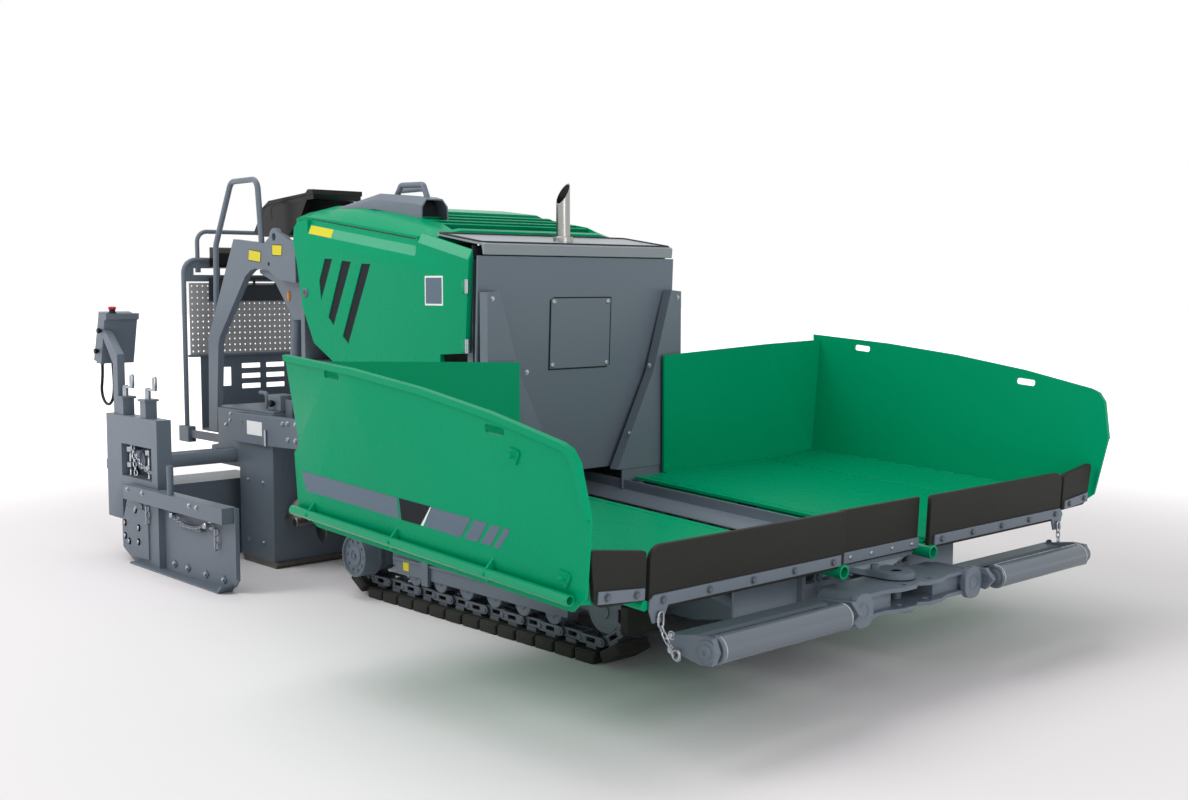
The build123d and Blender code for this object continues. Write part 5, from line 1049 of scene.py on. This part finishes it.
# %% Rails, slat and perforated sheet
def sieve(a_lines, b_lines, hole, origin, across, up, thick):
    """A sheet with a hole in every cell of a net. Front and back faces join a cell's outline to its hole's,
    hole walls join front to back, and outer walls stand only on the sheet's border."""
    hole = np.asarray(hole, float)
    n = len(hole)
    side = np.arange(n // 4) / (n // 4)
    edge = np.concatenate([np.stack([side, side * 0], 1), np.stack([side * 0 + 1, side], 1),
                           np.stack([1 - side, side * 0 + 1], 1), np.stack([side * 0, 1 - side], 1)])
    a, b = np.asarray(a_lines, float), np.asarray(b_lines, float)
    i, j = [m.ravel() for m in np.meshgrid(np.arange(len(a) - 1), np.arange(len(b) - 1), indexing="ij")]
    low = np.stack([a[i], b[j]], 1)[:, None]
    size = np.stack([a[i + 1] - a[i], b[j + 1] - b[j]], 1)[:, None]
    flat = np.stack([low + edge * size, low + size / 2 + hole], axis=1)
    back = np.asarray(origin, float) + flat[..., :1] * across + flat[..., 1:] * up
    points = np.stack([back, back + thick * np.cross(across, up)], axis=1)
    index = np.arange(points[..., 0].size).reshape(points.shape[:4])
    nxt = np.roll(index, -1, axis=3)

    def between(first, second):
        """Four-sided faces between two rings of every cell, each given by its face and its outline."""
        (s, k), (t, m) = first, second
        return np.stack([index[:, s, k], nxt[:, s, k], nxt[:, t, m], index[:, t, m]], -1)

    border = np.stack([j == 0, i == len(a) - 2, j == len(b) - 2, i == 0], 1)
    quads = [between((0, 0), (0, 1)), between((1, 0), (1, 1)), between((0, 1), (1, 1)),
             between((0, 0), (1, 0))[np.repeat(border, n // 4, axis=1)]]
    return points.reshape(-1, 3), np.concatenate([q.reshape(-1, 4) for q in quads]).tolist()


def both_ways(low, high):
    """A box and its mirror image on the other side of the machine."""
    box = slab(low, high)
    return join(box, mirrored(box))


GUARD_X, PLATE_X = -2.235, -2.204
HOOPS = ((GUARD_X, 0.58, 0.64, 1.632, 0.0138, 0.075), (GUARD_X - 0.005, 0.49, 1.56, 1.795, 0.0125, 0.06))
hoops = join(*[tube([(x, -y, foot), (x, -y, top), (x, y, top), (x, y, foot)], radius, bend, 20, 12)
               for x, y, foot, top, radius, bend in HOOPS])
SLAT_X = (GUARD_X - 0.004, GUARD_X + 0.004)
half_slot = [(-0.03, -0.019), (0, -0.019), (0.03, -0.019), (0.065, -0.019), (0.065, -0.009), (0.065, 0),
             (0.065, 0.009), (0.065, 0.019)]
slot_hole = np.array([(-0.065, -0.019), *half_slot, *(-np.array(half_slot[:-1]))])
slat = sieve(np.linspace(-0.5375, 0.4525, 7), (1.508, 1.622), slot_hole, (SLAT_X[0], 0, 0), Y, Z, 0.008)
fittings = join(slab((SLAT_X[0], -0.57, 1.508), (SLAT_X[1], -0.5375, 1.622)),
                slab((SLAT_X[0], 0.4525, 1.508), (SLAT_X[1], 0.57, 1.622)),
                both_ways((-2.295, 0.556, 0.59), (-2.175, 0.604, 0.68)),
                both_ways((GUARD_X, 0.568, 0.615), (-1.82, 0.588, 0.66)),
                both_ways((-2.247, 0.476, 1.56), (-2.227, 0.504, 1.64)),
                both_ways((GUARD_X, 0.28, 1.612), (-2.213, 0.32, 1.64)))
dark_slots = sieve(np.linspace(-0.2985, 0.5715, 7), (1.478, 1.53), slot_hole * (1, 0.85), (PLATE_X, 0, 0),
                   Y, Z, 0.004)
dark_plate = join(dark_slots,
                  slab((PLATE_X - 0.002, -0.44, 1.478), (PLATE_X + 0.002, -0.2985, 1.53)),
                  slab((PLATE_X - 0.002, -0.44, 1.395), (PLATE_X + 0.002, 0.5715, 1.478)))
SQUARE = np.array([(-1, -1), (0, -1), (1, -1), (1, 0), (1, 1), (0, 1), (-1, 1), (-1, 0)])
HOLE_HALF, HOLES_ACROSS, HOLES_UP = 0.0043, 34, 12
holes = sieve(np.linspace(-0.56, 0.56, HOLES_ACROSS + 1), np.linspace(1.09, 1.5, HOLES_UP + 1),
              SQUARE * HOLE_HALF, (-2.215, 0, 0), Y, Z, 0.005)
hand_rail = tube([(-1.917, 0.545, 1.29), (-1.903, 0.545, 1.709), (-1.715, 0.545, 2.045),
                  (-1.427, 0.545, 2.045), (-1.385, 0.545, 1.65)], 0.0155, 0.06, 20, 10)
grab = tube([(-0.39, -0.375, 1.905), (-0.345, -0.375, 1.962), (-0.165, -0.375, 1.957),
             (-0.128, -0.375, 1.885)],
            0.0138, 0.022, 16, 8)
piece("guard_dark_plate", dark_plate, dark_coat, "screed")
piece("guard_hoops", hoops, grey_coat, "screed", smooth=40, replaces=("guard_rails",))
piece("guard_fittings", fittings, grey_coat, "screed", edge=0.003)
piece("guard_slat", slat, grey_coat, "screed")
piece("perforated_sheet", holes, perforated_steel, "screed", replaces=("guard_panel",))
piece("hand_rails", join(hand_rail, mirrored(hand_rail)), grey_coat, smooth=40, replaces=("handrails",))
piece("scoop_grab_bar", grab, grey_coat, smooth=40)

# %% [markdown]
# The screed's sides are bolted boxes. The platform above has a handle beside the operator's feet and a valve
# box with one knob. The rating plate on the right is blank.

# %% Screed and tow arms
ARM_Y = 0.632
BODY_SPOTS = ((-1.67, 0.79), (-1.676, 0.755), (-1.724, 0.727), (-1.485, 0.448), (-1.328, 0.446),
              (-1.492, 0.123), (-1.33, 0.124))
ARM_SPOTS = ((-1.055, 0.78), (-1.005, 0.785), (-0.925, 0.786), (-1.003, 0.703), (-0.928, 0.703))
arm_ring = turned([(0.008, 0), (0.014, 0), (0.014, 0.002), (0.008, 0.002), (0.008, 0)],
                  (-1.493, ARM_Y, 0.761), Y, 28)
pin_washer = turned([(0, 0), (0.034, 0), (0.034, 0.004), (0.02, 0.005), (0.018, 0.012), (0, 0.013)],
                    (0.33, ARM_Y, 0.76), Y, 36)
corner_rod = tube([(-1.223, ARM_Y + 0.008, 0.654), (-1.223, ARM_Y + 0.008, 0.738)], 0.0075, sides=14)
handle = tube([(-1.52, 0.5, 0.909), (-1.449, 0.5, 0.909), (-1.449, 0.5, 0.826)], 0.011, 0.022, 16, 8)
valve_knob = turned([(0, 0), (0.012, 0), (0.012, 0.01), (0.019, 0.012), (0.019, 0.026), (0.015, 0.03),
                     (0, 0.03)],
                    (-1.295, 0.545, 0.867), Y, 24)
body_bolts = heads(bolt(0.009, 0.006, 0.012), 0.6, BODY_SPOTS)
arm_bolts = heads(bolt(0.012, 0.008, 0.016), ARM_Y, ARM_SPOTS)
pair("screed_bolts", join(body_bolts, arm_bolts, arm_ring, pin_washer, corner_rod), zinc, "screed")
pair("platform_handle", handle, grey_coat, "screed", smooth=40)
pair("valve_box", slab((-1.36, 0.45, 0.827), (-1.229, 0.545, 0.911)), grey_coat, "screed", edge=0.004)
pair("valve_knob", valve_knob, black_plastic, "screed")
RATING = [(-1.43, 0.773), (-1.27, 0.773), (-1.27, 0.7), (-1.43, 0.7)]
piece("rating_plate", right_film(RATING, ARM_Y), white_film, "screed", "track_steel")

# %% [markdown]
# Inside the end boxes two screws with nuts raise the end gate. A chain drum and a hoist's wheel lie between
# them, before a back wall coloured dark grey as painted shade. Round grips turn on the cranks above.

# %% End boxes
BOX_Y = 1.009
SCREW_X, CRANK_X = (-2.03, -1.8), (-2.08, -1.8)
CRANK_TOP = 0.884
screws = [threaded((x, BOX_Y, 0.456), 0.172) for x in SCREW_X]
nuts = [turned([(0, 0), (0.024, 0), (0.024, 0.026), (0.017, 0.03), (0, 0.03)], (x, BOX_Y, z), Z, 6)
        for x in SCREW_X for z in (0.5, 0.585)]
box_drum = turned([(0, 0), (0.036, 0), (0.036, 0.008), (0.024, 0.01), (0.024, 0.1), (0.036, 0.102),
                   (0.036, 0.11), (0, 0.11)], (-1.96, BOX_Y, 0.58), X, 28)
hoist = turned([(0, 0), (0.052, 0), (0.052, 0.01), (0.046, 0.012), (0.046, 0.036), (0.05, 0.04),
                (0.05, 0.046), (0.034, 0.046), (0.032, 0.05), (0.012, 0.05), (0.012, 0.056), (0, 0.056)],
               (-1.868, 0.982, 0.552), Y, 36)
box_chains = (chain((-1.9, BOX_Y + 0.027, 0.58), (-1.72, BOX_Y + 0.02, 0.5), 0.03, 0.018, 0.0025),
              chain((-1.945, 1.04, 0.65), (-1.9, 1.042, 0.47), 0.0, 0.022, 0.003))
grips = [turned([(0, 0.05), (0.0125, 0.052), (0.014, 0.075), (0.0125, 0.116), (0.009, 0.122), (0, 0.123)],
                (x + 0.084, BOX_Y, CRANK_TOP), Z, 24) for x in CRANK_X]
collars = [turned([(0, 0), (0.0155, 0), (0.0155, 0.046), (0.013, 0.06), (0, 0.06)], (x, BOX_Y, CRANK_TOP),
                  Z, 24) for x in CRANK_X]
arm = rounded([(-0.013, -0.01), (0.096, -0.01), (0.096, 0.01), (-0.013, 0.01)], 0.009, 5)
arms = [plate(arm, (x, BOX_Y, CRANK_TOP + 0.046), X, Y, 0.01) for x in CRANK_X]
pair("gate_screws", join(*screws, *nuts, *box_chains), zinc, "{side}_extension")
pair("gate_drum", join(box_drum, hoist), grey_coat, "{side}_extension")
# The back wall is dark grey as painted shade in the end box's recess.
pair("box_back_painted_shade", slab((-2.105, 0.969, 0.44), (-1.765, 0.974, 0.69)), dark_coat, "{side}_extension")
pair("crank_arms", join(*collars, *arms), zinc, "{side}_extension", edge=0.001, smooth=40,
     replaces=("{side}_spindle_cranks",))
pair("crank_grips", join(*grips), zinc, "{side}_extension", smooth=40)

# %% [markdown]
# The end gate is a plate with a channel on top and a ski below, bolted together. A slack chain hangs between
# its two locking pins, and a lifting link at each end.

# %% End gates
GATE_Y, REAR_Y, SKI_Y, SKI_Z = 1.1, 1.071, 1.036, 0.05
SKI_X = (-1.48, -1.33, -1.133, -0.945)
GATE_SPOTS = ((-1.16, 0.398), (-1.085, 0.396), (-1.7, 0.4), (-1.88, 0.4))
REAR_SPOTS = ((-1.813, 0.198), (-1.818, 0.122), (-1.985, 0.134), (-1.936, 0.11), (-1.85, 0.29),
              (-1.985, 0.205))
rear_plate = plate(rounded([(-2.028, 0.092), (-1.79, 0.06), (-1.77, 0.33), (-1.905, 0.34), (-2.028, 0.215)],
                           0.022, 5), (0, REAR_Y, 0), X, Z, 0.006)
diamond = rounded([(-0.032, 0), (0, -0.022), (0.032, 0), (0, 0.022)], 0.006, 4)
ski_plates = [plate(diamond, (x, SKI_Y, SKI_Z), X, Z, 0.006) for x in SKI_X]
lock_bar = (slab((-1.4, 1.03, 0.262), (-1.13, 1.058, 0.274)),
            tube([(-1.405, 1.082, 0.421), (-1.405, 1.082, 0.572)], 0.017, sides=20))
studs = [turned([(0, 0), (0.026, 0), (0.026, 0.004), (0.021, 0.006), (0.021, 0.01), (0.012, 0.012),
                 (0.01, 0.03), (0.017, 0.032), (0.017, 0.04), (0.012, 0.044),
                 (0, 0.044)], (x, 1.03, z), Y, 24)
         for x, z in ((-1.435, 0.312), (-1.065, 0.305))]
gate_chains = (chain((-1.425, 1.062, 0.308), (-1.08, 1.062, 0.302), 0.03, 0.018, 0.0026),
               chain((-1.693, 1.078, 0.33), (-1.69, 1.078, 0.235), 0.0, 0.032, 0.0036),
               chain((-0.984, 1.048, 0.3), (-0.984, 1.048, 0.195), 0.0, 0.034, 0.0036))
pair("gate_bolts", join(heads(bolt(0.01, 0.007, 0.015), GATE_Y, GATE_SPOTS),
                        heads(bolt(0.011, 0.008, 0.02), REAR_Y, REAR_SPOTS),
                        heads(bolt(0.01, 0.007, 0.014), SKI_Y, [(x, SKI_Z) for x in SKI_X]),
                        *studs, *gate_chains), zinc, "{side}_end_gate")
pair("gate_plates", join(*lock_bar, rear_plate, *ski_plates), grey_coat, "{side}_end_gate", edge=0.0015)

# %% [markdown]
# The control panels have rows of keys on their rear faces, two knobs and a connector on the outer side, and a
# red button on top. A cable hangs in a loop below the right one.

# %% Control panels and the cable
KEY_STEP_Y, KEY_STEP_UP, KEY_FIRST_UP = 0.038, 0.04, 0.03
BUTTON = (-2.298, 0.978, 0)
key_run = unit((0.085, 0, 0.274))
key_out = unit((-0.274, 0, 0.085))
columns, rows = np.meshgrid(np.arange(4), np.arange(6))
key_places = ((-2.463, 0.876, 1.066) + columns.reshape(-1, 1) * KEY_STEP_Y * Y
              + (KEY_FIRST_UP + rows.reshape(-1, 1) * KEY_STEP_UP) * key_run)
keys = copies(plate(oblong(0.012, 0.012, 0.004, 4), ORIGIN, X, Y, 0.005), key_places, key_run, key_out)
side_knobs = [turned([(0, 0), (0.01, 0), (0.01, 0.008), (0.015, 0.01), (0.014, 0.024), (0, 0.025)],
                     (x, 1.03, z), Y, 24) for x, z in ((-2.33, 1.235), (-2.375, 1.12))]
button = turned([(0, 1.352), (0.016, 1.352), (0.022, 1.356), (0.022, 1.364), (0.016, 1.368), (0, 1.369)],
                BUTTON, Z, 28)
button_ring = turned([(0, 1.328), (0.024, 1.328), (0.024, 1.336), (0.017, 1.337), (0.017, 1.353), (0, 1.353)],
                     BUTTON, Z, 28)
pair("panel_keys", join(keys, *side_knobs, button_ring), black_plastic, "{side}_extension", edge=0.001,
     smooth=40)
pair("stop_button", button, red_plastic, "{side}_extension", smooth=40)

CABLE_Y = -1.009
CABLE = ((-2.378, 1.042), (-2.378, 0.997), (-2.387, 0.949), (-2.399, 0.902), (-2.384, 0.857), (-2.345, 0.826),
         (-2.295, 0.823), (-2.253, 0.85), (-2.233, 0.896), (-2.228, 0.946), (-2.231, 0.996), (-2.239, 1.048),
         (-2.239, 1.096))
CABLE_DIAMETER = 0.016
curve = bpy.data.curves.new("panel_cable", "CURVE")
curve.dimensions = "3D"
curve.bevel_depth = CABLE_DIAMETER / 2
curve.bevel_resolution = 6
curve.resolution_u = 12
spline = curve.splines.new("NURBS")
spline.points.add(len(CABLE) - 1)
for point, (x, z) in zip(spline.points, CABLE):
    point.co = (x, CABLE_Y, z, 1.0)
spline.order_u = 3
spline.use_endpoint_u = True
curve.materials.append(sheath_rubber)
cable = bpy.data.objects.new("panel_cable", curve)
bpy.context.scene.collection.objects.link(cable)
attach(cable, "right_extension")
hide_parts("right_panel_cable")
print("pieces", len(tally), "faces", sum(tally))

# %% [markdown]
# The studio is a pale floor that runs out of sight, a white surround, and large soft lamps: one high on the
# left of the camera, a weaker one on its right, and one above.

# %% Floor, lamps and surround
def lamp(name, place, target, size, power):
    """A square area lamp at place that looks at target."""
    data = bpy.data.lights.new(name, "AREA")
    data.size = size
    data.energy = power
    made = bpy.data.objects.new(name, data)
    bpy.context.scene.collection.objects.link(made)
    made.location = place
    made.rotation_euler = (Vector(target) - Vector(place)).to_track_quat("-Z", "Y").to_euler()


FLOOR_REACH = 60.0
GLOW_FROM, GLOW_FULL = 3.2, 9.0          # the floor turns into white light between these distances
WHITE = (1.0, 1.0, 1.0, 1.0)
floor_mesh = bpy.data.meshes.new("floor")
square = np.array([(-1, -1, 0), (1, -1, 0), (1, 1, 0), (-1, 1, 0)]) * FLOOR_REACH
floor_mesh.from_pydata(square.tolist(), [], [(0, 1, 2, 3)])
floor = bpy.data.objects.new("floor", floor_mesh)
bpy.context.scene.collection.objects.link(floor)
floor_paint, tree, shader, place = new_material("studio_floor", Roughness=0.8, Specular_IOR_Level=0.1)
shader.inputs["Base Color"].default_value = linear("F2EEF0")
shader.inputs["Emission Color"].default_value = WHITE
reach = add(tree, "VectorMath", {0: place}, operation="LENGTH")
glow = add(tree, "MapRange", {"Value": reach.outputs["Value"], "From Min": GLOW_FROM, "From Max": GLOW_FULL},
           interpolation_type="SMOOTHSTEP")
tree.links.new(glow.outputs["Result"], shader.inputs["Emission Strength"])
floor_mesh.materials.append(floor_paint)

AMBIENT = 0.42          # strength of the surround where it only lights, and isn't seen or mirrored
world = bpy.data.worlds.new("surround")
bpy.context.scene.world = world
world.use_nodes = True
tree = world.node_tree
back = tree.nodes["Background"]
back.inputs["Color"].default_value = WHITE
ray = add(tree, "LightPath")
seen = add(tree, "Math", {0: ray.outputs["Is Camera Ray"], 1: ray.outputs["Is Glossy Ray"]},
           operation="MAXIMUM")
level = add(tree, "MapRange", {"Value": seen.outputs["Value"], "To Min": AMBIENT, "To Max": 1.0})
tree.links.new(level.outputs["Result"], back.inputs["Strength"])

lamp("key", (-5.5, -11.0, 9.5), (0.0, 0.0, 0.6), 6.0, 710.0)
lamp("fill", (11.0, -3.0, 5.0), (0.0, 0.0, 0.8), 5.0, 400.0)
lamp("top", (-2.0, -1.0, 9.0), (0.0, 0.0, 0.8), 7.0, 330.0)
bpy.context.scene.view_settings.view_transform = "Standard"
print("studio ready")
